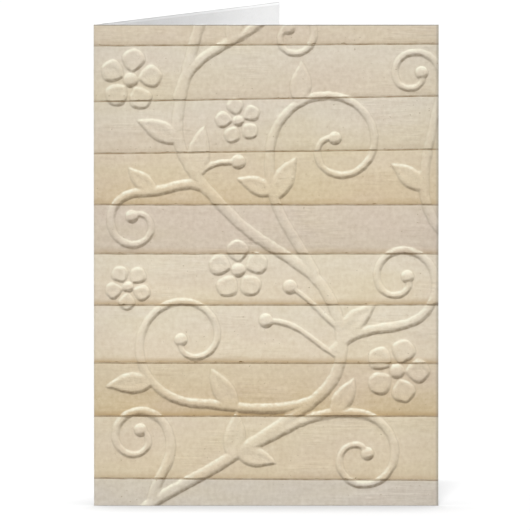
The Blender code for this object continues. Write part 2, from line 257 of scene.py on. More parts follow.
@dataclass
class FrontGrid:
    """The finest grid of places on the front. Its rows follow the slant of the seams."""

    sheet: Sheet
    boards: BoardCourses
    block: int = 16
    block_size: float = 0.0054
    seam_offsets: tuple[float, ...] = (0.00016, 0.0003, 0.00062, 0.0011)
    across: np.ndarray = field(init=False)
    up: np.ndarray = field(init=False)
    seam_rows: list[int] = field(init=False)

    def __post_init__(self) -> None:
        """Lays the columns and the rows out."""
        sheet = self.sheet
        span = sheet.flat - sheet.edge_break
        columns = round(span / self.block_size) * self.block
        self.across = np.linspace(sheet.outer_radius, sheet.width - sheet.edge_break, columns + 1)
        borders = self.boards.borders(sheet, self.across)
        rows = [borders[:1]]
        self.seam_rows = []
        for low, high in zip(borders, borders[1:]):
            tall = high - low
            count = max(1, round(float(tall.mean()) / self.block_size)) * self.block
            shares = np.arange(1, count + 1)[:, None] / count
            strip = low + tall * shares
            for k, offset in enumerate(self.seam_offsets):
                strip[k] = low + offset
                strip[-2 - k] = high - offset
            rows.append(strip)
            self.seam_rows.append(sum(len(row) for row in rows) - 1)
        self.seam_rows.pop()
        self.up = np.concatenate(rows)

    def window(self, low: np.ndarray, high: np.ndarray) -> tuple[slice, slice]:
        """Finds the part of the grid that holds a box of places, with room for the seams' slant.

        Args:
            low: The box's lower left corner.
            high: Its upper right corner.

        Returns:
            The rows and the columns.
        """
        slant = max(abs(left - right) for left, right in self.boards.seams) * self.sheet.height
        rows = np.searchsorted(self.up[:, 0], (low[1] - slant, high[1] + slant))
        columns = np.searchsorted(self.across, (low[0], high[0]))
        return slice(rows[0], rows[1] + 1), slice(columns[0], columns[1] + 1)


@dataclass(frozen=True)
class Scroll:
    """A stem that leaves a root and winds into a spiral. Places are shares of the panel."""

    root: Pair
    root_heading: float
    centre: Pair
    radius: float
    start: float
    sweep: float


@dataclass(frozen=True)
class Leaf:
    """A leaf on the vine or on a scroll. Its sizes are shares of the panel's width."""

    carrier: int
    along: float
    side: Side
    length: float
    width: float
    spread: float


@dataclass(frozen=True)
class Blossom:
    """Five petals round an eye."""

    centre: Pair
    radius: float
    turn: float


@dataclass(frozen=True)
class Bud:
    """A round bud on a stalk that leaves the vine."""

    root: Pair
    root_heading: float
    tip: Pair
    tip_heading: float


VINE = -1
VINE_KNOTS: tuple[Pair, ...] = (
    (0.06, -0.06),
    (0.18, 0.01),
    (0.44, 0.12),
    (0.70, 0.27),
    (0.67, 0.45),
    (0.42, 0.59),
    (0.25, 0.75),
    (0.28, 0.93),
    (0.34, 1.06),
)
SCROLLS = (
    Scroll((0.44, 0.12), 22, (0.77, 0.10), 0.130, 95, -430),
    Scroll((0.63, 0.215), 195, (0.28, 0.345), 0.185, -85, -455),
    Scroll((0.70, 0.325), 50, (0.885, 0.47), 0.115, -30, 410),
    Scroll((0.64, 0.485), 118, (0.70, 0.745), 0.190, 185, -455),
    Scroll((0.34, 0.65), 135, (0.125, 0.585), 0.095, 80, 400),
    Scroll((0.245, 0.85), 75, (0.575, 0.975), 0.090, 140, -390),
    Scroll((0.17, 0.005), 85, (0.125, 0.14), 0.095, 5, 420),
    Scroll((1.04, 0.55), 140, (0.925, 0.895), 0.085, -15, 390),
)
LEAVES = (
    Leaf(VINE, 0.19, Side.LEFT, 0.142, 0.063, 50),
    Leaf(VINE, 0.20, Side.RIGHT, 0.126, 0.059, 45),
    Leaf(VINE, 0.43, Side.RIGHT, 0.142, 0.063, 50),
    Leaf(VINE, 0.735, Side.RIGHT, 0.157, 0.067, 45),
    Leaf(VINE, 0.79, Side.LEFT, 0.142, 0.063, 48),
    Leaf(0, 0.30, Side.LEFT, 0.126, 0.059, 50),
    Leaf(1, 0.19, Side.RIGHT, 0.142, 0.063, 50),
    Leaf(1, 0.42, Side.LEFT, 0.142, 0.063, 50),
    Leaf(2, 0.40, Side.RIGHT, 0.110, 0.055, 50),
    Leaf(3, 0.20, Side.RIGHT, 0.142, 0.063, 45),
    Leaf(3, 0.215, Side.LEFT, 0.118, 0.055, 50),
    Leaf(3, 0.46, Side.LEFT, 0.130, 0.063, 50),
    Leaf(4, 0.27, Side.RIGHT, 0.110, 0.051, 50),
    Leaf(5, 0.30, Side.LEFT, 0.110, 0.051, 45),
    Leaf(7, 0.20, Side.LEFT, 0.126, 0.059, 45),
)
BLOSSOMS = (
    Blossom((0.108, 0.885), 0.091, 10),
    Blossom((0.88, 0.28), 0.094, 0),
    Blossom((0.42, 0.49), 0.087, 20),
    Blossom((0.42, 0.80), 0.067, 30),
    Blossom((0.10, 0.455), 0.067, 50),
)
BUDS = (
    Bud((0.71, 0.31), 150, (0.50, 0.385), 180),
    Bud((0.706, 0.372), 140, (0.57, 0.455), 150),
    Bud((0.30, 0.68), 60, (0.42, 0.715), 0),
)


@dataclass(frozen=True)
class Curves:
    """The centrelines of the stems, on a panel of a given size."""

    width: float
    height: float
    step: float = 0.0006
    fewest_run_steps: int = 4
    fewest_knot_steps: int = 2
    handle: float = 0.42
    core_radius: float = 0.0034
    tightness: float = 1.25
    step_deg: float = 3.0

    def place(self, share: Pair) -> np.ndarray:
        """A place on the front, from shares of the panel's width and height."""
        return np.array((share[0] * self.width, share[1] * self.height))

    def run(
        self, start: np.ndarray, leaving: float, end: np.ndarray, reaching: float
    ) -> np.ndarray:
        """Draws the curve that leaves one place at a heading and reaches another at a heading.

        Args:
            start: Where the curve starts.
            leaving: Its heading there, in degrees.
            end: Where the curve ends.
            reaching: Its heading there, in degrees.

        Returns:
            The curve's places, one row each.
        """
        span = float(np.linalg.norm(end - start))
        first = start + heading(leaving) * span * self.handle
        second = end - heading(reaching) * span * self.handle
        count = max(self.fewest_run_steps, round(span / self.step))
        t = np.linspace(0, 1, count + 1)[:, None]
        s = 1 - t
        return s**3 * start + 3 * s * s * t * first + 3 * s * t * t * second + t**3 * end

    def through(self, knots: Sequence[np.ndarray]) -> np.ndarray:
        """Draws a smooth curve through knots.

        Args:
            knots: The places that it goes through.

        Returns:
            The curve's places, one row each.
        """
        rows = []
        for i, (b, c) in enumerate(zip(knots, knots[1:])):
            a = knots[max(i - 1, 0)]
            d = knots[min(i + 2, len(knots) - 1)]
            count = max(self.fewest_knot_steps, round(float(np.linalg.norm(c - b)) / self.step))
            t = np.arange(count)[:, None] / count
            square = (2 * a - 5 * b + 4 * c - d) * t * t
            cube = (3 * b - a - 3 * c + d) * t**3
            rows.append((2 * b + (c - a) * t + square + cube) / 2)
        return np.concatenate([*rows, knots[-1][None]])

    def scroll(self, scroll: Scroll) -> np.ndarray:
        """Draws a scroll's centreline.

        Args:
            scroll: The scroll.

        Returns:
            Its places from the root to the core of its spiral, one row each.
        """
        count = round(abs(scroll.sweep) / self.step_deg)
        t = np.linspace(0, 1, count + 1)[:, None]
        slack = scroll.radius * self.width - self.core_radius
        reach = self.core_radius + slack * (1 - t) ** self.tightness
        angle = np.radians(scroll.start + scroll.sweep * t)
        turns = np.hstack([np.cos(angle), np.sin(angle)])
        wound = self.place(scroll.centre) + turns * reach
        entry = wound[1] - wound[0]
        entering = math.degrees(math.atan2(entry[1], entry[0]))
        stem = self.run(self.place(scroll.root), scroll.root_heading, wound[0], entering)
        return np.concatenate([stem[:-1], wound])


def shares_along(path: np.ndarray) -> np.ndarray:
    """How far along a path each of its places lies, from 0 to 1."""
    far = np.concatenate([[0.0], np.cumsum(np.linalg.norm(np.diff(path, axis=0), axis=1))])
    return far / far[-1]


def place_along(path: np.ndarray, share: float) -> tuple[np.ndarray, float]:
    """Finds a place on a path.

    Args:
        path: The path's places.
        share: How far along it the place lies, from 0 to 1.

    Returns:
        The place, and the path's heading there in degrees.
    """
    far = shares_along(path)
    i = int(np.searchsorted(far, share))
    a, b = path[i - 1], path[i]
    place = a + (b - a) * (share - far[i - 1]) / (far[i] - far[i - 1])
    return place, math.degrees(math.atan2(b[1] - a[1], b[0] - a[0]))


@dataclass
class Relief:
    """The raised ornament and the board courses, as heights over the grid of the front.

    The ornament is gathered as how far inside its outline each place lies, below zero outside it.
    """

    grid: FrontGrid
    curves: Curves
    height: float = 0.00045
    dome_height: float = 0.0006
    bevel: float = 0.0022
    fillet: float = 0.00015
    blend: float = 0.0005
    margin: float = 0.0008
    empty: float = -1.0
    far_outside: float = -2.0
    fold_clearance: Pair = (0.0002, 0.0007)
    vine_width: float = 0.0045
    stem_width: float = 0.0041
    tip_width: float = 0.0023
    stalk_width: float = 0.0023
    knob_radius: float = 0.0025
    bud_radius: float = 0.0028
    dome_power: float = 2.6
    blade_samples: int = 400
    blade_least_width: float = 0.000001
    valley_breadth: Pair = (0.0, 0.75)
    valley_start: Pair = (0.05, 0.3)
    valley_end: Pair = (0.75, 0.97)
    valley_rise: Pair = (0.4, 1.0)
    leaf_bend: float = 22.0
    leaf_lean: float = 0.8
    leaf_point: float = 0.9
    leaf_valley: float = 0.42
    petal_root: float = 0.24
    petal_length: float = 0.78
    petal_width: float = 0.76
    petal_lean: float = 1.25
    petal_point: float = 0.6
    petal_dish: float = 0.40
    petal_count: int = 5
    eye_share: float = 0.25
    groove_over_ornament: float = 0.00012
    cover_part: int = 3
    wobble: float = 0.00016
    wobble_length: float = 0.0018
    wobble_spare: int = 3
    seed: int = 11
    inside: np.ndarray = field(init=False)
    dips: np.ndarray = field(init=False)
    domes: np.ndarray = field(init=False)

    def __post_init__(self) -> None:
        """Starts with a bare front."""
        shape = self.grid.up.shape
        self.inside = np.full(shape, self.empty)
        self.dips = np.zeros(shape)
        self.domes = np.zeros(shape)

    def join(self, inside: np.ndarray) -> None:
        """Joins a shape to those that are there, with a soft crease where the two meet."""
        near = np.clip(self.blend - np.abs(self.inside - inside), 0, None) / self.blend
        self.inside = np.maximum(self.inside, inside) + near * near * self.blend / 4

    def stem(self, path: np.ndarray, root_width: float, tip_width: float) -> None:
        """Adds a tapered stem.

        Args:
            path: The places of its centreline.
            root_width: Its width where it starts.
            tip_width: Its width where it ends.
        """
        halves = (root_width + (tip_width - root_width) * shares_along(path)) / 2
        inside = np.full(self.grid.up.shape, self.far_outside)
        for a, b, wide, narrow in zip(path, path[1:], halves, halves[1:]):
            reach = wide + self.margin
            spot = self.grid.window(np.minimum(a, b) - reach, np.maximum(a, b) + reach)
            across = self.grid.across[None, spot[1]] - a[0]
            up = self.grid.up[spot] - a[1]
            run = b - a
            t = np.clip((across * run[0] + up * run[1]) / float(run @ run), 0, 1)
            gap = np.hypot(across - t * run[0], up - t * run[1])
            inside[spot] = np.maximum(inside[spot], wide + (narrow - wide) * t - gap)
        self.join(inside)

    def dome(self, centre: np.ndarray, radius: float) -> None:
        """Adds a low dome.

        Args:
            centre: Its middle.
            radius: Its radius.
        """
        reach = radius + self.margin
        spot = self.grid.window(centre - reach, centre + reach)
        across = self.grid.across[None, spot[1]] - centre[0]
        share = np.hypot(across, self.grid.up[spot] - centre[1]) / radius
        rise = self.dome_height * np.clip(1 - share**self.dome_power, 0, None)
        self.domes[spot] = np.maximum(self.domes[spot], rise)

    def blade(
        self,
        base: np.ndarray,
        base_heading: float,
        length: float,
        bend: float,
        half_width: Callable[[np.ndarray], np.ndarray],
        valley: float,
    ) -> None:
        """Adds a leaf or petal with a soft valley along its middle.

        Args:
            base: The place it grows from.
            base_heading: Its heading halfway along, in degrees.
            length: Its length.
            bend: How far its spine turns from end to end, in degrees.
            half_width: Half its width at shares of its length.
            valley: The share of its height that is missing along its spine.
        """
        reach = length + self.margin
        spot = self.grid.window(base - reach, base + reach)
        across = self.grid.across[None, spot[1]] - base[0]
        up = self.grid.up[spot] - base[1]
        if bend:
            turn = math.radians(bend)
            radius = length / turn
            centre = radius * heading(base_heading - bend / 2 + 90)
            spoke_x, spoke_z = across - centre[0], up - centre[1]
            start = math.radians(base_heading - bend / 2 - 90) + (math.pi if radius < 0 else 0)
            angle = np.arctan2(spoke_z, spoke_x) - start
            angle = (angle + math.pi) % (2 * math.pi) - math.pi
            t = angle / turn
            aside = np.abs(abs(radius) - np.hypot(spoke_x, spoke_z))
        else:
            ahead = heading(base_heading)
            t = (across * ahead[0] + up * ahead[1]) / length
            aside = np.abs(up * ahead[0] - across * ahead[1])
        table = np.linspace(0, 1, self.blade_samples)
        widths = half_width(table)
        slopes = np.gradient(widths, table * length)
        wide = np.interp(t, table, widths)
        slope = np.interp(t, table, slopes)
        beyond = np.clip(np.maximum(-t, t - 1), 0, None) * length
        inside = np.full(self.grid.up.shape, self.far_outside)
        inside[spot] = (wide - aside) / np.sqrt(1 + slope * slope) - beyond
        self.join(inside)
        breadth = aside / np.maximum(wide, self.blade_least_width)
        depth = valley * (1 - smooth_share(breadth, *self.valley_breadth))
        depth *= smooth_share(t, *self.valley_start) * (1 - smooth_share(t, *self.valley_end))
        self.dips[spot] = np.maximum(self.dips[spot], np.where(beyond > 0, 0, depth))

    def add_leaf(self, leaf: Leaf, path: np.ndarray) -> None:
        """Adds a leaf on the stem that carries it.

        Args:
            leaf: The leaf.
            path: The places of the stem's centreline.
        """
        base, along = place_along(path, leaf.along)
        half = leaf.width * self.curves.width / 2
        self.blade(
            base,
            along + leaf.side * leaf.spread,
            leaf.length * self.curves.width,
            leaf.side * self.leaf_bend,
            lambda t: half * np.sin(np.pi * t**self.leaf_lean).clip(0) ** self.leaf_point,
            self.leaf_valley,
        )

    def add_blossom(self, blossom: Blossom) -> None:
        """Adds a blossom's petals and its eye.

        Args:
            blossom: The blossom.
        """
        centre = self.curves.place(blossom.centre)
        radius = blossom.radius * self.curves.width
        half = radius * self.petal_width / 2
        for k in range(self.petal_count):
            spoke = blossom.turn + 360 * k / self.petal_count
            self.blade(
                centre + heading(spoke) * radius * self.petal_root,
                spoke,
                radius * self.petal_length,
                0,
                lambda t: half * np.sin(np.pi * t**self.petal_lean).clip(0) ** self.petal_point,
                self.petal_dish,
            )
        self.dome(centre, radius * self.eye_share)

    def add_ornament(self) -> None:
        """Adds the vine, its scrolls, leaves, blossoms and buds."""
        vine = self.curves.through([self.curves.place(knot) for knot in VINE_KNOTS])
        paths = [self.curves.scroll(scroll) for scroll in SCROLLS]
        self.stem(vine, self.vine_width, self.stem_width)
        for path in paths:
            self.stem(path, self.stem_width, self.tip_width)
            self.dome(path[-1], self.knob_radius)
        for leaf in LEAVES:
            self.add_leaf(leaf, vine if leaf.carrier == VINE else paths[leaf.carrier])
        for blossom in BLOSSOMS:
            self.add_blossom(blossom)
        for bud in BUDS:
            start, end = self.curves.place(bud.root), self.curves.place(bud.tip)
            stalk = self.curves.run(start, bud.root_heading, end, bud.tip_heading)
            self.stem(stalk, self.stalk_width, self.stalk_width)
            self.dome(stalk[-1], self.bud_radius)

    def unevenness(self) -> np.ndarray:
        """Makes smooth noise over the front, for the hand-worked outlines.

        Returns:
            The noise at each place of the grid, from -1 to 1.
        """
        grid = self.grid
        sizes = (grid.sheet.height, grid.sheet.width)
        shape = [int(size / self.wobble_length) + self.wobble_spare for size in sizes]
        knots = np.random.default_rng(self.seed).uniform(-1, 1, shape)
        up, across = grid.up / self.wobble_length, grid.across[None] / self.wobble_length
        i, j = np.floor(up).astype(int), np.floor(across).astype(int)
        v, u = smooth_share(up - i, 0, 1), smooth_share(across - j, 0, 1)
        low = knots[i, j] * (1 - u) + knots[i, j + 1] * u
        high = knots[i + 1, j] * (1 - u) + knots[i + 1, j + 1] * u
        return low * (1 - v) + high * v

    def ornament_heights(self) -> np.ndarray:
        """Works the ornament out, rounded at its feet and creases.

        Returns:
            Its height at each place of the grid.
        """
        uneven = self.inside + self.wobble * self.unevenness()
        share = np.clip((uneven + self.fillet) / (self.bevel + self.fillet), 0, 1)
        dips = self.dips * smooth_share(share, *self.valley_rise)
        rise = self.height * (1 - (1 - share) ** 2) * (1 - dips)
        rise = np.maximum(rise, self.domes)
        start = self.grid.sheet.outer_radius
        low, high = (start + reach for reach in self.fold_clearance)
        rise *= smooth_share(self.grid.across, low, high)
        rise[1:-1] = (rise[:-2] + 2 * rise[1:-1] + rise[2:]) / 4
        rise[:, 1:-1] = (rise[:, :-2] + 2 * rise[:, 1:-1] + rise[:, 2:]) / 4
        return rise

    def heights(self) -> np.ndarray:
        """Works the whole front out, with the boards' rolls and the grooves between them.

        Returns:
            The height at each place of the grid.
        """
        grid, boards = self.grid, self.grid.boards
        rise = self.ornament_heights()
        borders = boards.borders(grid.sheet, grid.across)
        roll = np.zeros_like(rise)
        starts = [0, *grid.seam_rows, len(rise)]
        for n, (first, last) in enumerate(zip(starts, starts[1:])):
            strip = slice(first, last)
            if n:
                share = np.clip((grid.up[strip] - borders[n]) / boards.roll_height, 0, 1)
                roll[strip] += boards.roll_depth * (1 - share) ** boards.roll_power
            if n < len(boards.seams):
                share = np.clip((borders[n + 1] - grid.up[strip]) / boards.crown_height, 0, 1)
                roll[strip] += boards.crown_depth * (1 - share) ** 2
        cover = smooth_share(rise, 0, self.height / self.cover_part)
        heights = rise - roll * (1 - cover)
        for row in grid.seam_rows:
            heights[row] -= boards.groove_depth + self.groove_over_ornament * cover[row]
        return heights


@dataclass
class AdaptiveGrid:
    """A mesh over the front's grid, fine where the relief bends and coarse where it is flat."""

    heights: np.ndarray
    block: int
    tolerance: float = 0.000015

    def bend(self, size: int) -> np.ndarray:
        """Finds how far the heights in each block leave a plain patch through its corners.

        Args:
            size: The size of the blocks, in steps of the finest grid.

        Returns:
            The farthest that they leave it, for each block.
        """
        h = self.heights
        rows, columns = (n // size for n in (h.shape[0] - 1, h.shape[1] - 1))
        a, b = h[:-1:size, :-1:size], h[:-1:size, size::size]
        c, d = h[size::size, :-1:size], h[size::size, size::size]
        worst = np.zeros((rows, columns))
        for i in range(size + 1):
            for j in range(size + 1):
                v, u = i / size, j / size
                patch = (a * (1 - u) + b * u) * (1 - v) + (c * (1 - u) + d * u) * v
                real = h[i:, j:][::size, ::size][:rows, :columns]
                worst = np.maximum(worst, np.abs(real - patch))
        return worst

    def splits(self) -> dict[int, np.ndarray]:
        """Finds which blocks are split, so that neighbours differ by one size at most.

        Returns:
            For each size of block, whether each block of it is split.
        """
        found: dict[int, np.ndarray] = {}
        size = 2
        needed: np.ndarray | None = None
        while size <= self.block:
            split = self.bend(size) > self.tolerance
            if needed is not None:
                split |= needed
            found[size] = split
            spread = np.pad(split, 1)
            wide = spread[1:-1, 1:-1] | spread[:-2, 1:-1] | spread[2:, 1:-1]
            wide = wide | spread[1:-1, :-2] | spread[1:-1, 2:]
            if size < self.block:
                rows, columns = wide.shape[0] // 2, wide.shape[1] // 2
                needed = wide.reshape(rows, 2, columns, 2).any(axis=(1, 3))
            size *= 2
        return found

    def faces(self) -> list[tuple[int, ...]]:
        """Makes the faces.

        Returns:
            The faces as places' numbers on the finest grid, anticlockwise from outside. A block
            beside smaller ones is a fan round its centre.
        """
        found = self.splits()
        wide = self.heights.shape[1]
        faces: list[tuple[int, ...]] = []
        size = self.block
        parents = np.ones_like(found[size])
        while size >= 1:
            split = found.get(size, np.zeros_like(parents))
            around = np.pad(split, 1)
            for row, column in zip(*np.nonzero(parents & ~split)):
                i, j = int(row) * size, int(column) * size
                half = size // 2
                sides = (
                    ((i, j), (i, j + half), around[row, column + 1]),
                    ((i, j + size), (i + half, j + size), around[row + 1, column + 2]),
                    ((i + size, j + size), (i + size, j + half), around[row + 2, column + 1]),
                    ((i + size, j), (i + half, j), around[row + 1, column]),
                )
                ring = []
                for corner, middle, fine in sides:
                    ring.append(corner[0] * wide + corner[1])
                    if fine:
                        ring.append(middle[0] * wide + middle[1])
                if len(ring) == QUAD_CORNERS:
                    faces.append(tuple(ring))
                    continue
                centre = (i + half) * wide + j + half
                faces += [(centre, a, b) for a, b in zip(ring, ring[1:] + ring[:1])]
            parents = np.kron(split, np.ones((2, 2), bool)) if size > 1 else parents
            size //= 2
        return faces


def add_object(name: str, data: bpy.types.ID) -> bpy.types.Object:
    """Adds an object to the scene.

    Args:
        name: Its name.
        data: The mesh, lamp or camera that it holds.

    Returns:
        The object.
    """
    obj = bpy.data.objects.new(name, data)
    bpy.context.scene.collection.objects.link(obj)
    return obj


def turn_back(obj: bpy.types.Object, direction: Vector) -> None:
    """Turns the back of a lamp or camera to a direction, so that it looks the other way."""
    obj.rotation_mode = "QUATERNION"
    obj.rotation_quaternion = direction.to_track_quat("Z", "Y")


@dataclass
class SheetMesh:
    """The points and the faces of the sheet while they are gathered."""

    points: list[np.ndarray] = field(default_factory=list)
    faces: list[tuple[int, ...]] = field(default_factory=list)
    finishes: list[Face] = field(default_factory=list)
    rings: list[np.ndarray] = field(default_factory=list)
    count: int = 0

    def add_points(self, points: np.ndarray) -> np.ndarray:
        """Adds points.

        Args:
            points: The points, one row each.

        Returns:
            Their numbers.
        """
        self.points.append(points)
        numbers = np.arange(self.count, self.count + len(points))
        self.count += len(points)
        return numbers

    def add_faces(self, faces: Iterable[Sequence[int]], finishes: Iterable[Face]) -> None:
        """Adds faces.

        Args:
            faces: The numbers of each face's points, anticlockwise from outside.
            finishes: The finish of each.
        """
        for face, finish in zip(faces, finishes):
            self.faces.append(tuple(int(i) for i in face))
            self.finishes.append(finish)

    def add_band(self, outer: np.ndarray, inner: np.ndarray, finishes: Iterable[Face]) -> None:
        """Adds a closed band of faces between two rings with the same number of points."""
        after, below = np.roll(outer, -1), np.roll(inner, -1)
        self.add_faces(zip(after, outer, inner, below), finishes)

    def make(self, name: str, materials: Sequence[bpy.types.Material]) -> bpy.types.Object:
        """Makes the object.

        Args:
            name: The object's name.
            materials: The finishes, in the order of Face.

        Returns:
            The object, smooth all over but for the rings of its cut edge.
        """
        mesh = bpy.data.meshes.new(name)
        mesh.from_pydata(np.concatenate(self.points).tolist(), [], self.faces)
        for material in materials:
            mesh.materials.append(material)
        mesh.polygons.foreach_set("material_index", [int(face) for face in self.finishes])
        mesh.polygons.foreach_set("use_smooth", [True] * len(self.faces))
        ends = np.empty(len(mesh.edges) * 2, np.int32)
        mesh.edges.foreach_get("vertices", ends)
        ends = ends.reshape(-1, 2)
        sharp = np.zeros(len(ends), bool)
        for ring in self.rings:
            turn = np.full(self.count, -1)
            turn[ring] = np.arange(len(ring))
            step = np.abs(turn[ends[:, 0]] - turn[ends[:, 1]])
            both = (turn[ends] >= 0).all(axis=1)
            sharp |= both & ((step == 1) | (step == len(ring) - 1))
        mesh.edges.foreach_set("use_edge_sharp", sharp)
        mesh.update()
        return add_object(name, mesh)


class Value:
    """A number in a shader. Sums on it add the nodes that work them out."""

    def __init__(self, graph: "Graph", socket: Socket) -> None:
        """Wraps a socket that gives a number."""
        self.graph = graph
        self.socket = socket

    def math(self, operation: str, *terms: "Value | float") -> "Value":
        """Adds a Math node whose first term is this value.

        Args:
            operation: What the node does.
            *terms: Its other terms.

        Returns:
            Its result.
        """
        inputs = dict(enumerate((self, *terms)))
        node = self.graph.node("ShaderNodeMath", {"operation": operation}, inputs)
        return Value(self.graph, node.outputs[0])

    def __add__(self, other: "Value | float") -> "Value":
        """The sum of the two."""
        return self.math("ADD", other)

    __radd__ = __add__

    def __sub__(self, other: "Value | float") -> "Value":
        """This value less the other."""
        return self.math("SUBTRACT", other)

    def __rsub__(self, other: float) -> "Value":
        """A number less this value."""
        return self.math("MULTIPLY_ADD", -1.0, other)

    def __mul__(self, other: "Value | float") -> "Value":
        """The product of the two."""
        return self.math("MULTIPLY", other)

    __rmul__ = __mul__

    def __neg__(self) -> "Value":
        """The value with its sign turned."""
        return self.math("MULTIPLY", -1.0)

    def __truediv__(self, other: "Value | float") -> "Value":
        """This value over the other."""
        return self.math("DIVIDE", other)

    def least(self, other: "Value | float") -> "Value":
        """The lower of the two."""
        return self.math("MINIMUM", other)

    def most(self, other: "Value | float") -> "Value":
        """The higher of the two."""
        return self.math("MAXIMUM", other)

    def eased(self, low: float, high: float) -> "Value":
        """Eases the value between two limits.

        Args:
            low: Where the result is 0.
            high: Where the result is 1.

        Returns:
            The eased value.
        """
        node = self.graph.node(
            "ShaderNodeMapRange",
            {"interpolation_type": "SMOOTHSTEP"},
            {"Value": self, "From Min": low, "From Max": high},
        )
        return Value(self.graph, node.outputs["Result"])

    def centred(self) -> "Value":
        """Noise from 0 to 1, moved to lie round 0."""
        return self - 0.5


@dataclass(frozen=True)
class Grain:
    """Cloudy noise: how long its patches are in x, y and z, and how many finer layers it has."""

    size: tuple[float, float, float]
    detail: float = 2.0


class Graph:
    """The nodes of one material or of the world."""

    def __init__(self, tree: bpy.types.NodeTree) -> None:
        """Starts with an empty tree."""
        self.tree = tree
        tree.nodes.clear()

    def node(
        self,
        kind: str,
        settings: Mapping[str, object] | None = None,
        inputs: Mapping[str | int, object] | None = None,
    ) -> bpy.types.Node:
        """Adds a node.

        Args:
            kind: The node's type.
            settings: Its settings, which are set before its sockets.
            inputs: A number, a colour, a vector, a value or a socket for each input.

        Returns:
            The node.
        """
        node = self.tree.nodes.new(kind)
        for name, setting in (settings or {}).items():
            setattr(node, name, setting)
        for name, given in (inputs or {}).items():
            source = given.socket if isinstance(given, Value) else given
            if isinstance(source, Socket):
                self.tree.links.new(source, node.inputs[name])
            else:
                node.inputs[name].default_value = source
        return node

    def coordinates(self, kind: str) -> Socket:
        """The socket of the coordinates of a kind, such as Object or Normal."""
        return self.node("ShaderNodeTexCoord").outputs[kind]

    def split(self, vector: Socket) -> tuple[Value, Value, Value]:
        """The three numbers of a vector."""
        outputs = self.node("ShaderNodeSeparateXYZ", inputs={"Vector": vector}).outputs
        return Value(self, outputs[0]), Value(self, outputs[1]), Value(self, outputs[2])

    def grey(self, tone: Value) -> Socket:
        """A grey colour from a number."""
        inputs = {"Red": tone, "Green": tone, "Blue": tone}
        return self.node("ShaderNodeCombineColor", inputs=inputs).outputs[0]

    def blend(
        self,
        share: Value | float,
        first: Socket | Colour,
        second: Socket | Colour,
        mode: str = "MIX",
    ) -> Socket:
        """Mixes two colours. The sockets of a Mix node's colours have the numbers 6, 7 and 2.

        Args:
            share: The share of the second.
            first: The first colour.
            second: The second colour.
            mode: How the second is laid on the first.

        Returns:
            The socket of the mixed colour.
        """
        settings = {"data_type": "RGBA", "blend_type": mode}
        node = self.node("ShaderNodeMix", settings, {0: share, 6: first, 7: second})
        return node.outputs[2]

    def choose(self, share: Value, first: Value, second: Value | float) -> Value:
        """Mixes two numbers, which have the sockets 2 and 3, by the share of the second."""
        node = self.node("ShaderNodeMix", {"data_type": "FLOAT"}, {0: share, 2: first, 3: second})
        return Value(self, node.outputs[0])

    def noise(self, place: Socket, grain: Grain) -> Value:
        """Adds cloudy noise.

        Args:
            place: The socket of the places.
            grain: How coarse the noise is.

        Returns:
            The noise, from 0 to 1.
        """
        per_metre = tuple(1 / length for length in grain.size)
        scaled = self.node(
            "ShaderNodeVectorMath", {"operation": "MULTIPLY"}, {0: place, 1: per_metre}
        )
        inputs = {
            "Vector": scaled.outputs[0],
            "Scale": 1.0,
            "Detail": grain.detail,
            "Roughness": NOISE_ROUGHNESS,
        }
        node = self.node("ShaderNodeTexNoise", {"noise_dimensions": "3D"}, inputs)
        return Value(self, node.outputs[0])

    def surface(self, colour: Socket, roughness: Value, specular: float, bump: Value) -> None:
        """Ends a material with its shader.

        Args:
            colour: The socket of its colour.
            roughness: How rough it is.
            specular: How strongly it reflects.
            bump: The fine height that its normal follows, in parts of BUMP_HEIGHT.
        """
        raised = self.node(
            "ShaderNodeBump", inputs={"Strength": 1.0, "Distance": BUMP_HEIGHT, "Height": bump}
        )
        inputs = {
            "Base Color": colour,
            "Roughness": roughness,
            "Specular IOR Level": specular,
            "Normal": raised.outputs["Normal"],
        }
        shader = self.node("ShaderNodeBsdfPrincipled", inputs=inputs)
        self.node("ShaderNodeOutputMaterial", inputs={"Surface": shader.outputs[0]})


def new_material(name: str) -> tuple[bpy.types.Material, Graph]:
    """Makes a material.

    Args:
        name: Its name.

    Returns:
        The material and its tree of nodes, which is empty.
    """
    material = bpy.data.materials.new(name)
    material.use_nodes = True
    return material, Graph(material.node_tree)


@dataclass(frozen=True)
class PrintSpot:
    """Where the print is painted, as the sockets and values of its material."""

    graph: Graph
    place: Socket
    normal: Socket
    across: Value
    up: Value
    raised: Value

    def noise(self, grain: Grain) -> Value:
        """Cloudy noise over the print."""
        return self.graph.noise(self.place, grain)


@dataclass(frozen=True)
class SeamGaps:
    """Where a place lies between the seams of its board.

    Its distances above and below its seams, and the strength of its lap's warm tone and painted
    shade.
    """

    above: Value
    below: Value
    lap_strength: Value


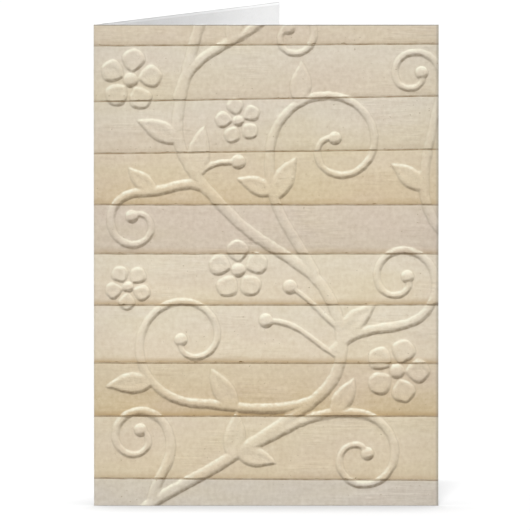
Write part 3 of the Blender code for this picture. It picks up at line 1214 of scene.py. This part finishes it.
@dataclass(frozen=True)
class BoardPaint:
    """The boards' tints, with their drift, mottling, brushed grain and specks."""

    wander: Grain = Grain((0.011, 1.0, 1.0), 4.0)
    wander_height: float = 0.0004
    seam_blur: float = 0.00005
    rise: Pair = (0.05, 0.95)
    drift: Grain = Grain((0.05, 1.0, 0.018))
    drift_edge: Pair = (0.46, 0.72)
    rose: Colour = printed(209, 191, 176)
    rose_share: float = 0.3
    straw: Colour = printed(212, 199, 163)
    straw_share: float = 0.28
    tones: tuple[tuple[Grain, float], ...] = (
        (Grain((0.0016, 1.0, 0.0017), 3.0), 0.42),
        (Grain((0.008, 1.0, 0.0013), 3.0), 0.18),
        (Grain((0.009, 1.0, 0.005), 3.0), 0.18),
    )
    middle_tone: float = 0.5
    spots: Grain = Grain((0.0011, 1.0, 0.0009), 1.0)
    spot_edge: Pair = (0.7, 0.76)
    spread: Grain = Grain((0.02, 1.0, 0.014), 1.0)
    spread_edge: Pair = (0.42, 0.6)
    speck: Colour = printed(166, 146, 116)
    speck_share: float = 0.8

    def lay(self, spot: PrintSpot, boards: BoardCourses, sheet: Sheet) -> tuple[SeamGaps, Socket]:
        """Paints the boards in their tints.

        Args:
            spot: Where the print is painted.
            boards: The boards.
            sheet: The folded sheet.

        Returns:
            How a place lies between the seams, and the colour.
        """
        graph = spot.graph
        wander = spot.noise(self.wander).centred() * self.wander_height
        share = spot.across / sheet.width
        up = spot.up + wander
        gaps = []
        for left, right in boards.seams:
            seam = share * ((right - left) * sheet.height) + left * sheet.height
            gaps.append(up - seam)
        above = gaps[0] + sheet.height
        below = -gaps[0]
        lap_strength = above * 0.0
        high, low = boards.tints[0].value
        for n, gap in enumerate(gaps):
            over = gap.eased(-self.seam_blur, self.seam_blur)
            further = gaps[n + 1] if n + 1 < len(gaps) else gap - sheet.height
            above = graph.choose(over, above, gap)
            below = graph.choose(over, below, -further)
            lap_strength = graph.choose(over, lap_strength, boards.laps[n])
            low = graph.blend(over, low, boards.tints[n + 1].value[1])
            high = graph.blend(over, high, boards.tints[n + 1].value[0])
        rise = (above / (above + below)).eased(*self.rise)
        return SeamGaps(above, below, lap_strength), graph.blend(rise, low, high)

    def grain(self, spot: PrintSpot, colour: Socket) -> Socket:
        """Lays the drifting tints, the mottling, the brushed grain and the specks over a colour.

        Args:
            spot: Where the print is painted.
            colour: The colour beneath.

        Returns:
            The new colour.
        """
        graph = spot.graph
        drift = spot.noise(self.drift)
        rose = drift.eased(*self.drift_edge) * self.rose_share
        straw = (1 - drift).eased(*self.drift_edge) * self.straw_share
        colour = graph.blend(rose, colour, self.rose)
        colour = graph.blend(straw, colour, self.straw)
        parts = [spot.noise(grain).centred() * share for grain, share in self.tones]
        tone = parts[0] + parts[1] + parts[2] + self.middle_tone
        colour = graph.blend(1.0, colour, graph.grey(tone), "SOFT_LIGHT")
        spots, spread = spot.noise(self.spots), spot.noise(self.spread)
        speck = spots.eased(*self.spot_edge) * spread.eased(*self.spread_edge)
        return graph.blend(speck * self.speck_share, colour, self.speck)


@dataclass(frozen=True)
class SeamPaint:
    """The seams: warm laps with painted shade, painted highlights beneath, and dark lines between.
    """

    # The warm lap colour: a warm tone, and painted shade where each board rolls under.
    lap: Colour = printed(186, 157, 114)
    lap_share: float = 0.36
    lap_height: float = 0.0036
    ragged: Grain = Grain((0.012, 1.0, 0.003), 3.0)
    ragged_least: float = 0.5
    # The painted highlight on the crown of the board beneath each seam.
    crown_highlight: Colour = printed(232, 222, 202)
    crown_highlight_share: float = 0.06
    crown_highlight_reach: Pair = (0.0004, 0.0016)
    line: Colour = printed(118, 93, 48)
    line_share: float = 0.92
    line_above: Pair = (0.00008, 0.00026)
    line_below: Pair = (0.00032, 0.00054)
    chips: Grain = Grain((0.0035, 1.0, 0.002), 3.0)
    chip_edge: Pair = (0.58, 0.78)
    chip_height: float = 0.0007
    uneven: Grain = Grain((0.004, 1.0, 1.0), 4.0)
    uneven_edge: Pair = (0.25, 0.7)
    uneven_share: float = 0.35
    even_share: float = 0.65

    def laps(self, spot: PrintSpot, gaps: SeamGaps, colour: Socket) -> Socket:
        """Warms each lap and darkens it with painted shade; paints a highlight on the crown below.

        Args:
            spot: Where the print is painted.
            gaps: How a place lies between the seams.
            colour: The colour beneath.

        Returns:
            The new colour.
        """
        ragged = spot.noise(self.ragged) + self.ragged_least
        # Warm tone and painted shade on the lap, strongest at the seam.
        lap = 1 - gaps.above.eased(0.0, self.lap_height)
        share = lap * lap * ragged * gaps.lap_strength * self.lap_share
        colour = spot.graph.blend(share, colour, self.lap)
        # Painted highlight along the top of the board beneath the seam.
        crown_highlight = 1 - gaps.below.eased(*self.crown_highlight_reach)
        return spot.graph.blend(crown_highlight * self.crown_highlight_share, colour, self.crown_highlight)

    def lines(self, spot: PrintSpot, gaps: SeamGaps, colour: Socket) -> Socket:
        """Prints the dark, uneven line of each seam, mostly on the board beneath it.

        Args:
            spot: Where the print is painted.
            gaps: How a place lies between the seams.
            colour: The colour beneath.

        Returns:
            The new colour.
        """
        uneven = spot.noise(self.uneven).eased(*self.uneven_edge)
        chips = spot.noise(self.chips).eased(*self.chip_edge) * self.chip_height
        upper = 1 - (gaps.above - chips).eased(*self.line_above)
        lower = 1 - gaps.below.eased(*self.line_below)
        line = upper.most(lower) * (uneven * self.uneven_share + self.even_share)
        return spot.graph.blend(line * self.line_share, colour, self.line)


@dataclass(frozen=True)
class OrnamentPaint:
    """The paler ornament, painted with highlight and shade on its slopes and shade at its foot."""

    raised: Colour = printed(229, 218, 197)
    raised_share: float = 0.16
    raised_reach: Pair = (0.03, 0.35)
    ledge: Pair = (0.02, 0.1)
    lean: float = 0.28
    worked: Grain = Grain((0.0022, 1.0, 0.0016), 3.0)
    worked_edge: Pair = (0.34, 0.66)
    # The painted highlight, laid where a slope faces up.
    lit: Colour = printed(222, 218, 198)
    lit_tilt: Pair = (0.07, 0.27)
    lit_shares: Pair = (0.3, 0.66)
    # The painted shade, laid where a slope faces down.
    shaded: Colour = printed(120, 92, 50)
    shaded_tilt: Pair = (0.07, 0.25)
    shaded_shares: Pair = (0.54, -0.26)
    # The painted shade round the ornament's foot, where it meets the board.
    foot: Colour = printed(160, 143, 118)
    foot_share: float = 0.18
    foot_shade_top: Pair = (0.12, 0.5)
    foot_shade_tilt: Pair = (0.05, 0.3)

    def lay(self, spot: PrintSpot, colour: Socket) -> Socket:
        """Pales the raised ornament, and paints light and shade on it by which way its slopes face.

        Args:
            spot: Where the print is painted.
            colour: The colour beneath.

        Returns:
            The new colour.
        """
        graph, raised = spot.graph, spot.raised
        aside, _, upward = graph.split(spot.normal)
        # How far a slope faces up and a little to the left, towards the key lamp.
        tilt = upward - aside * self.lean
        on = raised.eased(*self.raised_reach)
        colour = graph.blend(on * self.raised_share, colour, self.raised)
        ledge = raised.eased(*self.ledge)
        # Painted shade at the ornament's foot, left off where the slope faces up.
        foot = ledge * (1 - raised.eased(*self.foot_shade_top)) * (1 - tilt.eased(*self.foot_shade_tilt))
        colour = graph.blend(foot * self.foot_share, colour, self.foot)
        # The painted highlight and shade vary in strength from patch to patch.
        worked = spot.noise(self.worked).eased(*self.worked_edge)
        lit = worked * self.lit_shares[1] + self.lit_shares[0]
        shaded = worked * self.shaded_shares[1] + self.shaded_shares[0]
        # Painted highlight on upward slopes, then painted shade on downward slopes.
        colour = graph.blend(tilt.eased(*self.lit_tilt) * ledge * lit, colour, self.lit)
        return graph.blend((-tilt).eased(*self.shaded_tilt) * ledge * shaded, colour, self.shaded)


@dataclass(frozen=True)
class TrimPaint:
    """The front greyer along the fold and the trimmed edges, and slightly greyer towards both
    sides.
    """

    border: Colour = printed(136, 132, 126)
    fold: Pair = (0.0002, 0.0014)
    fold_share: float = 0.24
    side: Pair = (0.0003, 0.0015)
    side_share: float = 0.5
    top: Pair = (0.0002, 0.0005)
    top_share: float = 0.9
    foot: Pair = (0.0001, 0.0004)
    foot_share: float = 0.2
    fade: Pair = (0.001, 0.02)
    fade_share: float = 0.075

    def lay(self, spot: PrintSpot, sheet: Sheet, colour: Socket) -> Socket:
        """Greys the front along the trimmed edges and the fold, and slightly towards both sides.

        Args:
            spot: Where the print is painted.
            sheet: The folded sheet.
            colour: The colour beneath.

        Returns:
            The new colour.
        """
        across, up = spot.across, spot.up
        fold = (1 - across.eased(*self.fold)) * self.fold_share
        side = (1 - (sheet.width - across).eased(*self.side)) * self.side_share
        top = (1 - (sheet.height - up).eased(*self.top)) * self.top_share
        foot = (1 - up.eased(*self.foot)) * self.foot_share
        nearest = across.least(sheet.width - across)
        fade = (1 - nearest.eased(*self.fade)) * self.fade_share
        edge = fold.most(side).most(top).most(foot).most(fade)
        return spot.graph.blend(edge, colour, self.border)


@dataclass(frozen=True)
class PrintFinish:
    """The printed front: ten boards in their tints, warm laps with painted shade, under a matt
    coat.
    """

    sheet: Sheet
    boards: BoardCourses
    relief_height: float
    name: str = "printed_boards"
    board_paint: BoardPaint = BoardPaint()
    seam_paint: SeamPaint = SeamPaint()
    ornament_paint: OrnamentPaint = OrnamentPaint()
    trim_paint: TrimPaint = TrimPaint()
    roughness: float = 0.56
    roughness_drift: float = 0.16
    specular: float = 0.3
    cloud: Grain = Grain((0.006, 0.006, 0.003), 3.0)
    fine: Grain = Grain((0.0005, 0.0005, 0.0004), 4.0)
    fine_share: float = 0.6
    fibre: Grain = Grain((0.0042, 0.002, 0.0003))
    fibre_share: float = 0.4
    pits: Grain = Grain((0.0014, 0.0014, 0.0013))
    pitting: float = 5.0
    pitted_reach: Pair = (0.1, 0.6)
    wavy: Grain = Grain((0.009, 1.0, 0.0011))
    waves: float = 5.0
    patches: Grain = Grain((0.03, 1.0, 0.012), 1.0)
    patch_edge: Pair = (0.5, 0.62)

    def material(self) -> bpy.types.Material:
        """Makes the material of the printed front.

        Returns:
            The material.
        """
        material, graph = new_material(self.name)
        place = graph.coordinates("Object")
        x, y, z = graph.split(place)
        raised = (self.sheet.face - y) / self.relief_height
        across = x - self.sheet.left
        spot = PrintSpot(graph, place, graph.coordinates("Normal"), across, z, raised)
        gaps, colour = self.board_paint.lay(spot, self.boards, self.sheet)
        colour = self.board_paint.grain(spot, colour)
        colour = self.seam_paint.laps(spot, gaps, colour)
        colour = self.ornament_paint.lay(spot, colour)
        colour = self.seam_paint.lines(spot, gaps, colour)
        colour = self.trim_paint.lay(spot, self.sheet, colour)
        roughness = self.roughness + spot.noise(self.cloud).centred() * self.roughness_drift
        graph.surface(colour, roughness, self.specular, self.bump(spot))
        return material

    def bump(self, spot: PrintSpot) -> Value:
        """Roughs the print: fibres all over, pits on the ornament, and waves on some patches.

        Args:
            spot: Where the print is painted.

        Returns:
            The fine height.
        """
        fine = spot.noise(self.fine) * self.fine_share
        fibre = spot.noise(self.fibre) * self.fibre_share
        pits = spot.noise(self.pits) * spot.raised.eased(*self.pitted_reach) * self.pitting
        patches = spot.noise(self.patches).eased(*self.patch_edge)
        return fine + fibre + pits + spot.noise(self.wavy) * patches * self.waves


@dataclass(frozen=True)
class BareCardFinish:
    """Bare white card: faint fibre, a painted highlight along its top, greyer along its cut edges.
    """

    sheet: Sheet
    name: str = "bare_white_card"
    white: Colour = (0.86, 0.86, 0.858, 1.0)
    cloudy: Colour = (0.82, 0.82, 0.815, 1.0)
    cloudy_edge: Pair = (0.35, 0.7)
    cloud: Grain = Grain((0.011, 0.011, 0.008), 4.0)
    fibre: Grain = Grain((0.0011, 0.0011, 0.0006), 4.0)
    # A painted highlight in a narrow strip along the top of the card.
    top_highlight: Colour = (0.97, 0.97, 0.97, 1.0)
    top_highlight_reach: Pair = (0.0009, 0.0012)
    # The grey laid along the cut edges.
    edge_grey: Colour = (0.6, 0.6, 0.6, 1.0)
    edge_grey_share: float = 0.8
    edge_grey_reach: Pair = (0.00015, 0.00045)
    roughness: float = 0.78
    roughness_drift: float = 0.12
    specular: float = 0.25

    def material(self) -> bpy.types.Material:
        """Makes the material of the bare card.

        Returns:
            The material.
        """
        material, graph = new_material(self.name)
        place = graph.coordinates("Object")
        x, y, z = graph.split(place)
        cloud, fibre = graph.noise(place, self.cloud), graph.noise(place, self.fibre)
        share = ((cloud + fibre) * 0.5).eased(*self.cloudy_edge)
        colour = graph.blend(share, self.white, self.cloudy)
        under = self.sheet.height - z
        # Painted highlight along the top.
        colour = graph.blend(1 - under.eased(*self.top_highlight_reach), colour, self.top_highlight)
        # Greyer along the cut edges.
        cut = self.from_cut(x, y).least(under).least(z)
        edge_grey = (1 - cut.eased(*self.edge_grey_reach)) * self.edge_grey_share
        colour = graph.blend(edge_grey, colour, self.edge_grey)
        roughness = self.roughness + cloud.centred() * self.roughness_drift
        graph.surface(colour, roughness, self.specular, fibre)
        return material

    def from_cut(self, x: Value, y: Value) -> Value:
        """Measures how far a place of the back lies from its free upright edge.

        Args:
            x: The place's x.
            y: The place's y.

        Returns:
            The distance.
        """
        sheet = self.sheet
        ahead = heading(sheet.opening_deg)
        start = sheet.left + sheet.outer_radius, sheet.face + sheet.outer_radius
        run = (x - start[0]) * float(ahead[0]) + (y - start[1]) * float(ahead[1])
        return sheet.flat - run


@dataclass(frozen=True)
class CutEdgeFinish:
    """The cut edges, where the card's white core shows in fine layers."""

    name: str = "cut_white_core"
    core: Colour = (0.84, 0.835, 0.815, 1.0)
    layer: Colour = (0.72, 0.71, 0.69, 1.0)
    layer_edge: Pair = (0.42, 0.68)
    layers: Grain = Grain((0.0009, 0.00009, 0.0009), 3.0)
    layers_share: float = 0.6
    torn: Grain = Grain((0.0004, 0.0004, 0.0004))
    torn_share: float = 0.4
    roughness: float = 0.85
    roughness_drift: float = 0.1
    specular: float = 0.2

    def material(self) -> bpy.types.Material:
        """Makes the material of the cut edges.

        Returns:
            The material.
        """
        material, graph = new_material(self.name)
        place = graph.coordinates("Object")
        layers, torn = graph.noise(place, self.layers), graph.noise(place, self.torn)
        colour = graph.blend(layers.eased(*self.layer_edge), self.core, self.layer)
        roughness = self.roughness + torn.centred() * self.roughness_drift
        bump = layers * self.layers_share + torn * self.torn_share
        graph.surface(colour, roughness, self.specular, bump)
        return material


@dataclass
class GreetingCard:
    """The folded card as one closed sheet: its front, its fold, its back, and the cut edge."""

    sheet: Sheet
    boards: BoardCourses
    fold_steps: int = 14
    back_steps: int = 6
    relief_ease_deg: float = 55.0
    print_end_deg: float = 61.0
    inner_step: float = 0.012
    fold_row_step: float = 0.004
    edge_slack: float = 1.01
    merge_distance_mm: float = 0.000001
    mesh: SheetMesh = field(default_factory=SheetMesh)

    def build(self) -> bpy.types.Object:
        """Builds the sheet and dresses it.

        Returns:
            The sheet's object.
        """
        sheet = self.sheet
        grid = FrontGrid(sheet, self.boards)
        relief = Relief(grid, Curves(sheet.width, sheet.height))
        relief.add_ornament()
        heights = relief.heights()
        numbers = self.add_front(grid, heights)
        left = [(row, number) for row, number in enumerate(numbers[:, 0]) if number >= 0]
        columns = self.add_round_fold(grid, heights, left)
        rim = self.rim(grid, heights, numbers, columns)
        inner = self.add_cut_edge(rim)
        self.add_inside(inner)
        finishes = (
            PrintFinish(sheet, self.boards, relief.height).material(),
            BareCardFinish(sheet).material(),
            CutEdgeFinish().material(),
        )
        return self.mesh.make(PIECE_NAME, finishes)

    def add_front(self, grid: FrontGrid, heights: np.ndarray) -> np.ndarray:
        """Adds the printed front.

        Args:
            grid: The places of the front.
            heights: The height at each.

        Returns:
            The number of the point at each place, or -1 where there is none.
        """
        faces = AdaptiveGrid(heights, grid.block).faces()
        used = np.unique(np.fromiter((i for face in faces for i in face), int))
        along = self.sheet.width - np.broadcast_to(grid.across, heights.shape).ravel()[used]
        points = self.sheet.points(along, grid.up.ravel()[used], -heights.ravel()[used])
        numbers = np.full(heights.size, -1)
        numbers[used] = self.mesh.add_points(points)
        outer = [[numbers[i] for i in face] for face in faces]
        self.mesh.add_faces(outer, [Face.PRINT] * len(outer))
        LOG.info("front: %d faces", len(faces))
        return numbers.reshape(heights.shape)

    def add_round_fold(
        self, grid: FrontGrid, heights: np.ndarray, left: Sequence[tuple[int, int]]
    ) -> list[tuple[float, np.ndarray]]:
        """Adds the outer face of the fold and of the back.

        Args:
            grid: The places of the front.
            heights: The height at each.
            left: The rows that have a point on the front's border with the fold, and its number.

        Returns:
            The columns of points from that border on: how far along each lies, and its numbers.
        """
        sheet = self.sheet
        rows = [row for row, _ in left]
        up = grid.up[rows, 0]
        rise = heights[rows, 0]
        steps = range(1, self.fold_steps + 1)
        turns = [sheet.flat + sheet.arc * k / self.fold_steps for k in steps]
        end = sheet.length - sheet.edge_break
        flats = [
            turns[-1] + (end - turns[-1]) * k / self.back_steps
            for k in range(1, self.back_steps + 1)
        ]
        columns = [(sheet.flat, np.array([number for _, number in left]))]
        for place in turns + flats:
            turned = math.degrees(min(place - sheet.flat, sheet.arc) / sheet.outer_radius)
            fade = 1 - float(smooth_share(np.array(turned), 0, self.relief_ease_deg))
            points = sheet.points(np.full_like(up, place), up, -rise * fade)
            before = columns[-1][1]
            numbers = self.mesh.add_points(points)
            finish = Face.PRINT if turned <= self.print_end_deg else Face.BARE
            faces = zip(numbers, before, before[1:], numbers[1:])
            self.mesh.add_faces(faces, [finish] * (len(numbers) - 1))
            columns.append((place, numbers))
        return columns

    def rim(
        self,
        grid: FrontGrid,
        heights: np.ndarray,
        numbers: np.ndarray,
        columns: Sequence[tuple[float, np.ndarray]],
    ) -> list[RimPoint]:
        """Follows the border of the outer face round, anticlockwise from outside.

        Args:
            grid: The places of the front.
            heights: The height at each.
            numbers: The number of the point at each place of the front.
            columns: The columns of points on the fold and on the back.

        Returns:
            For each point its number, how far along and how far up it lies, and its height.
        """
        sheet = self.sheet
        rows, wide = numbers.shape

        def on_front(row: int, column: int) -> RimPoint:
            """Describes the border's point at a place of the front.

            Args:
                row: The place's row.
                column: Its column.

            Returns:
                Its number, how far along and how far up it lies, and its height.
            """
            along = sheet.width - float(grid.across[column])
            up = float(grid.up[row, column])
            return int(numbers[row, column]), along, up, float(heights[row, column])

        right = [on_front(i, wide - 1) for i in range(rows) if numbers[i, -1] >= 0]
        top = [on_front(rows - 1, j) for j in range(wide - 2, -1, -1) if numbers[-1, j] >= 0]
        bottom = [on_front(0, j) for j in range(wide - 1) if numbers[0, j] >= 0]
        low, high = sheet.edge_break, sheet.height - sheet.edge_break
        back_top = [(int(ids[-1]), place, high, 0.0) for place, ids in columns[1:-1]]
        far, last = columns[-1]
        ups = grid.up[[i for i in range(rows) if numbers[i, 0] >= 0], 0]
        back_end = [(int(n), far, float(up), 0.0) for n, up in zip(last[::-1], ups[::-1])]
        back_bottom = [(int(ids[0]), place, low, 0.0) for place, ids in columns[-2:0:-1]]
        return right + top + back_top + back_end + back_bottom + bottom

    def add_cut_edge(self, rim: Sequence[RimPoint]) -> list[tuple[int, Pair]]:
        """Adds the cut edge, softly broken at both faces.

        Args:
            rim: The border of the outer face.

        Returns:
            The border of the inner face: each point's number and its place, along and up.
        """
        sheet = self.sheet
        ring = np.array([number for number, _, _, _ in rim])
        along, up, rise = (np.array([entry[k] for entry in rim]) for k in (1, 2, 3))
        small = sheet.edge_break * self.edge_slack
        edge_along = np.where(along <= small, 0, along)
        edge_along = np.where(along >= sheet.length - small, sheet.length, edge_along)
        edge_up = np.where(up <= small, 0, up)
        edge_up = np.where(up >= sheet.height - small, sheet.height, edge_up)
        outer_depth = sheet.edge_break - rise
        inner_depth = np.full_like(rise, sheet.thickness - sheet.edge_break)
        outer = self.mesh.add_points(sheet.points(edge_along, edge_up, outer_depth))
        inner = self.mesh.add_points(sheet.points(edge_along, edge_up, inner_depth))
        face = self.mesh.add_points(sheet.points(along, up, np.full_like(rise, sheet.thickness)))
        front = along < sheet.flat + sheet.arc / 2
        self.mesh.add_band(ring, outer, [Face.PRINT if on else Face.BARE for on in front])
        self.mesh.add_band(outer, inner, [Face.CUT] * len(rim))
        self.mesh.add_band(inner, face, [Face.BARE] * len(rim))
        self.mesh.rings += [ring, outer, inner, face]
        return [(int(number), (float(a), float(b))) for number, a, b in zip(face, along, up)]

    def add_inside(self, border: Sequence[tuple[int, Pair]]) -> None:
        """Adds the inner face of the front, the fold and the back.

        Args:
            border: Each point's number on the face's border and its place, along and up.
        """
        sheet = self.sheet
        places = [place for _, place in border]
        inner = self.inner_places()
        flat = [Vector((along * MM, up * MM)) for along, up in places + inner]
        edges = [(k, (k + 1) % len(places)) for k in range(len(places))]
        found, _, triangles, origins, _, _ = delaunay_2d_cdt(
            flat, edges, [], 0, self.merge_distance_mm
        )
        numbers = self.mesh.add_points(
            sheet.points(
                np.array([along for along, _ in inner]),
                np.array([up for _, up in inner]),
                np.full(len(inner), sheet.thickness),
            )
        )
        everything = [number for number, _ in border] + [int(n) for n in numbers]
        faces = []
        for triangle in triangles:
            a, b, c = (found[i] for i in triangle)
            ids = [everything[origins[i][0]] for i in triangle]
            turned = (b - a).cross(c - a) < 0
            faces.append(ids[::-1] if turned else ids)
        self.mesh.add_faces(faces, [Face.BARE] * len(faces))
        LOG.info("inside: %d faces", len(faces))

    def inner_places(self) -> list[Pair]:
        """Spreads places over the inner face, closer together in the fold.

        Returns:
            How far along and how far up each lies.
        """
        sheet = self.sheet
        inner = []
        for low, high in ((0.0, sheet.flat), (sheet.flat + sheet.arc, sheet.length)):
            count = round((high - low) / self.inner_step)
            rows = round(sheet.height / self.inner_step)
            for j in range(1, count):
                for i in range(1, rows):
                    inner.append((low + (high - low) * j / count, sheet.height * i / rows))
        rows = round(sheet.height / self.fold_row_step)
        for k in range(self.fold_steps + 1):
            along = sheet.flat + sheet.arc * k / self.fold_steps
            inner += [(along, sheet.height * i / rows) for i in range(1, rows)]
        return inner


@dataclass(frozen=True)
class Lamp:
    """A far, soft lamp. Its level is the light it gives on a surface that faces it."""

    name: str
    azimuth: float
    elevation: float
    level: float
    spread_deg: float

    def place(self) -> None:
        """Puts the lamp in the scene."""
        data = bpy.data.lights.new(self.name, "SUN")
        data.energy = self.level * math.pi
        data.angle = math.radians(self.spread_deg)
        lamp = add_object(self.name, data)
        turn, rise = math.radians(self.azimuth), math.radians(self.elevation)
        aside, ahead = math.sin(turn) * math.cos(rise), math.cos(turn) * math.cos(rise)
        towards = Vector((aside, -ahead, math.sin(rise)))
        lamp.location = towards
        turn_back(lamp, towards)


@dataclass(frozen=True)
class Softbox:
    """A near, upright strip of light that faces a place. Its power is in watts."""

    name: str
    position: tuple[float, float, float]
    target: tuple[float, float, float]
    width: float
    height: float
    power: float

    def place(self) -> None:
        """Puts the lamp in the scene, where no camera sees it."""
        data = bpy.data.lights.new(self.name, "AREA")
        data.shape = "RECTANGLE"
        data.size = self.width
        data.size_y = self.height
        data.energy = self.power
        lamp = add_object(self.name, data)
        lamp.location = self.position
        turn_back(lamp, Vector(self.position) - Vector(self.target))
        lamp.visible_camera = False


@dataclass(frozen=True)
class Floor:
    """A pale floor that looks white, with the card's shadow on it and a painted shadow at its foot.
    """

    name: str = "studio_floor"
    half_width: float = 6.0
    half_depth: float = 14.0
    steps: int = 6
    colour: Colour = (0.36, 0.36, 0.36, 1.0)
    seen_colour: Colour = (0.62, 0.62, 0.62, 1.0)
    roughness: float = 0.9
    roughness_drift: float = 0.05
    mottled: Grain = Grain((0.4, 0.4, 0.4))
    # The colour of the painted shadow at the card's foot.
    contact_shadow: Colour = (0.18, 0.18, 0.18, 1.0)
    contact_reach: float = 0.03
    contact_samples: int = 16
    glow_share: float = 0.7

    def make(self) -> bpy.types.Object:
        """Makes the floor.

        Returns:
            The floor's object.
        """
        steps = self.steps
        points = [
            (self.half_width * (2 * i / steps - 1), self.half_depth * (2 * j / steps - 1), 0.0)
            for j in range(steps + 1)
            for i in range(steps + 1)
        ]
        faces = [
            (k, k + 1, k + steps + 2, k + steps + 1)
            for j in range(steps)
            for k in range(j * (steps + 1), j * (steps + 1) + steps)
        ]
        mesh = bpy.data.meshes.new(self.name)
        mesh.from_pydata(points, [], faces)
        mesh.materials.append(self.material())
        return add_object(self.name, mesh)

    def material(self) -> bpy.types.Material:
        """Makes the floor's material: white where it is seen, with a painted shadow beside the
        card's foot.

        Returns:
            The material.
        """
        material, graph = new_material("pale_floor")
        seen = seen_ray(graph)
        reach = {"Distance": self.contact_reach}
        settings = {"samples": self.contact_samples}
        # Painted contact shadow: ambient occlusion darkens the floor the camera sees near the card.
        near = graph.node("ShaderNodeAmbientOcclusion", settings, reach)
        contact_shadow_share = (1 - Value(graph, near.outputs["AO"])) * seen
        mottled = graph.noise(graph.coordinates("Object"), self.mottled).centred()
        inputs = {
            "Base Color": graph.blend(seen, self.colour, self.seen_colour),
            "Roughness": self.roughness + mottled * self.roughness_drift,
            "Specular IOR Level": 0.0,
        }
        matt = graph.node("ShaderNodeBsdfPrincipled", inputs=inputs)
        shade = graph.blend(contact_shadow_share, WHITE, self.contact_shadow)
        glow = graph.node("ShaderNodeEmission", inputs={"Color": shade, "Strength": 1.0})
        inputs = {0: seen * self.glow_share, 1: matt.outputs[0], 2: glow.outputs[0]}
        mixed = graph.node("ShaderNodeMixShader", inputs=inputs)
        graph.node("ShaderNodeOutputMaterial", inputs={"Surface": mixed.outputs[0]})
        return material


def seen_ray(graph: Graph) -> Value:
    """Tells the rays that show what they meet: from the camera, a mirror or through glass.

    Args:
        graph: The nodes of a material or of the world.

    Returns:
        1 for such a ray and 0 for any other.
    """
    rays = graph.node("ShaderNodeLightPath").outputs
    camera, glossy, through = (
        Value(graph, rays[f"Is {kind} Ray"]) for kind in ("Camera", "Glossy", "Transmission")
    )
    return camera.most(glossy).most(through)


@dataclass(frozen=True)
class Studio:
    """A pale floor, soft lamps, and a sky, brighter behind the card and dimmer on its right."""

    lamps: tuple[Lamp | Softbox, ...] = (
        Lamp("key_lamp", -4.0, 62.0, 1.08, 5.0),
        Lamp("overhead_lamp", 180.0, 80.0, 0.27, 12.0),
        Lamp("rear_lamp", -110.0, 40.0, 0.32, 25.0),
        Softbox("side_softbox", (0.052, 0.024, 0.13), (0.005, 0.053, 0.13), 0.05, 0.22, 0.032),
    )
    floor: Floor = Floor()
    sky: float = 0.4
    rear_sky: float = 1.15
    right_dimming: float = 0.8
    sky_reach: Pair = (0.0, 0.9)

    def build(self) -> None:
        """Sets the lamps, the sky and the floor up."""
        for lamp in self.lamps:
            lamp.place()
        self.make_sky()
        self.floor.make()
        view = bpy.context.scene.view_settings
        view.view_transform = "Standard"

    def make_sky(self) -> None:
        """Makes the world: white where it is seen, and an even soft light elsewhere."""
        world = bpy.data.worlds.new("even_sky")
        bpy.context.scene.world = world
        world.use_nodes = True
        graph = Graph(world.node_tree)
        rightward, rearward, _ = graph.split(graph.coordinates("Generated"))
        behind = rearward.eased(*self.sky_reach)
        dimmed = 1 - rightward.eased(*self.sky_reach) * self.right_dimming
        soft = (behind * (self.rear_sky - self.sky) + self.sky) * dimmed
        seen = seen_ray(graph)
        level = soft * (1 - seen) + seen
        sky = graph.node("ShaderNodeBackground", inputs={"Color": WHITE, "Strength": level})
        graph.node("ShaderNodeOutputWorld", inputs={"Surface": sky.outputs[0]})


@dataclass(frozen=True)
class Viewpoint:
    """The camera: a long lens, a little above the middle of the front."""

    sheet: Sheet
    name: str = "portrait_camera"
    lens_mm: float = 1476.1
    sensor_mm: float = 36.0
    distance: float = 8.0
    elevation: float = 5.2
    aim_aside: float = -0.00037
    aim_raise: float = 0.00014
    clip: Pair = (0.05, 100.0)

    def build(self) -> None:
        """Puts the camera in the scene."""
        data = bpy.data.cameras.new(self.name)
        data.lens = self.lens_mm
        data.sensor_width = self.sensor_mm
        data.clip_start, data.clip_end = self.clip
        camera = add_object(self.name, data)
        sheet = self.sheet
        middle = sheet.left + sheet.width / 2 + self.aim_aside
        target = Vector((middle, sheet.face, sheet.height / 2 + self.aim_raise))
        rise = math.radians(self.elevation)
        back = Vector((0.0, -math.cos(rise), math.sin(rise)))
        camera.location = target + back * self.distance
        turn_back(camera, back)
        bpy.context.scene.camera = camera


def packed_sheet() -> Sheet:
    """Reads the sheet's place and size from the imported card's box.

    Returns:
        The sheet. Its face lies behind the tallest part of the ornament.
    """
    low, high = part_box(CARD_NODE)
    tallest = Relief.dome_height
    return Sheet(low[0], low[1] + tallest, high[0] - low[0], high[2] - low[2])


def main() -> None:
    """Builds the card, the studio and the camera."""
    logging.basicConfig(level=logging.INFO, format="%(name)s: %(message)s")
    sheet = packed_sheet()
    card = GreetingCard(sheet, BoardCourses()).build()
    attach(card, BODY)
    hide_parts(CARD_NODE)
    LOG.info("%s: %d points", card.name, len(card.data.vertices))
    Studio().build()
    Viewpoint(sheet).build()


if __name__ == "__main__":
    main()
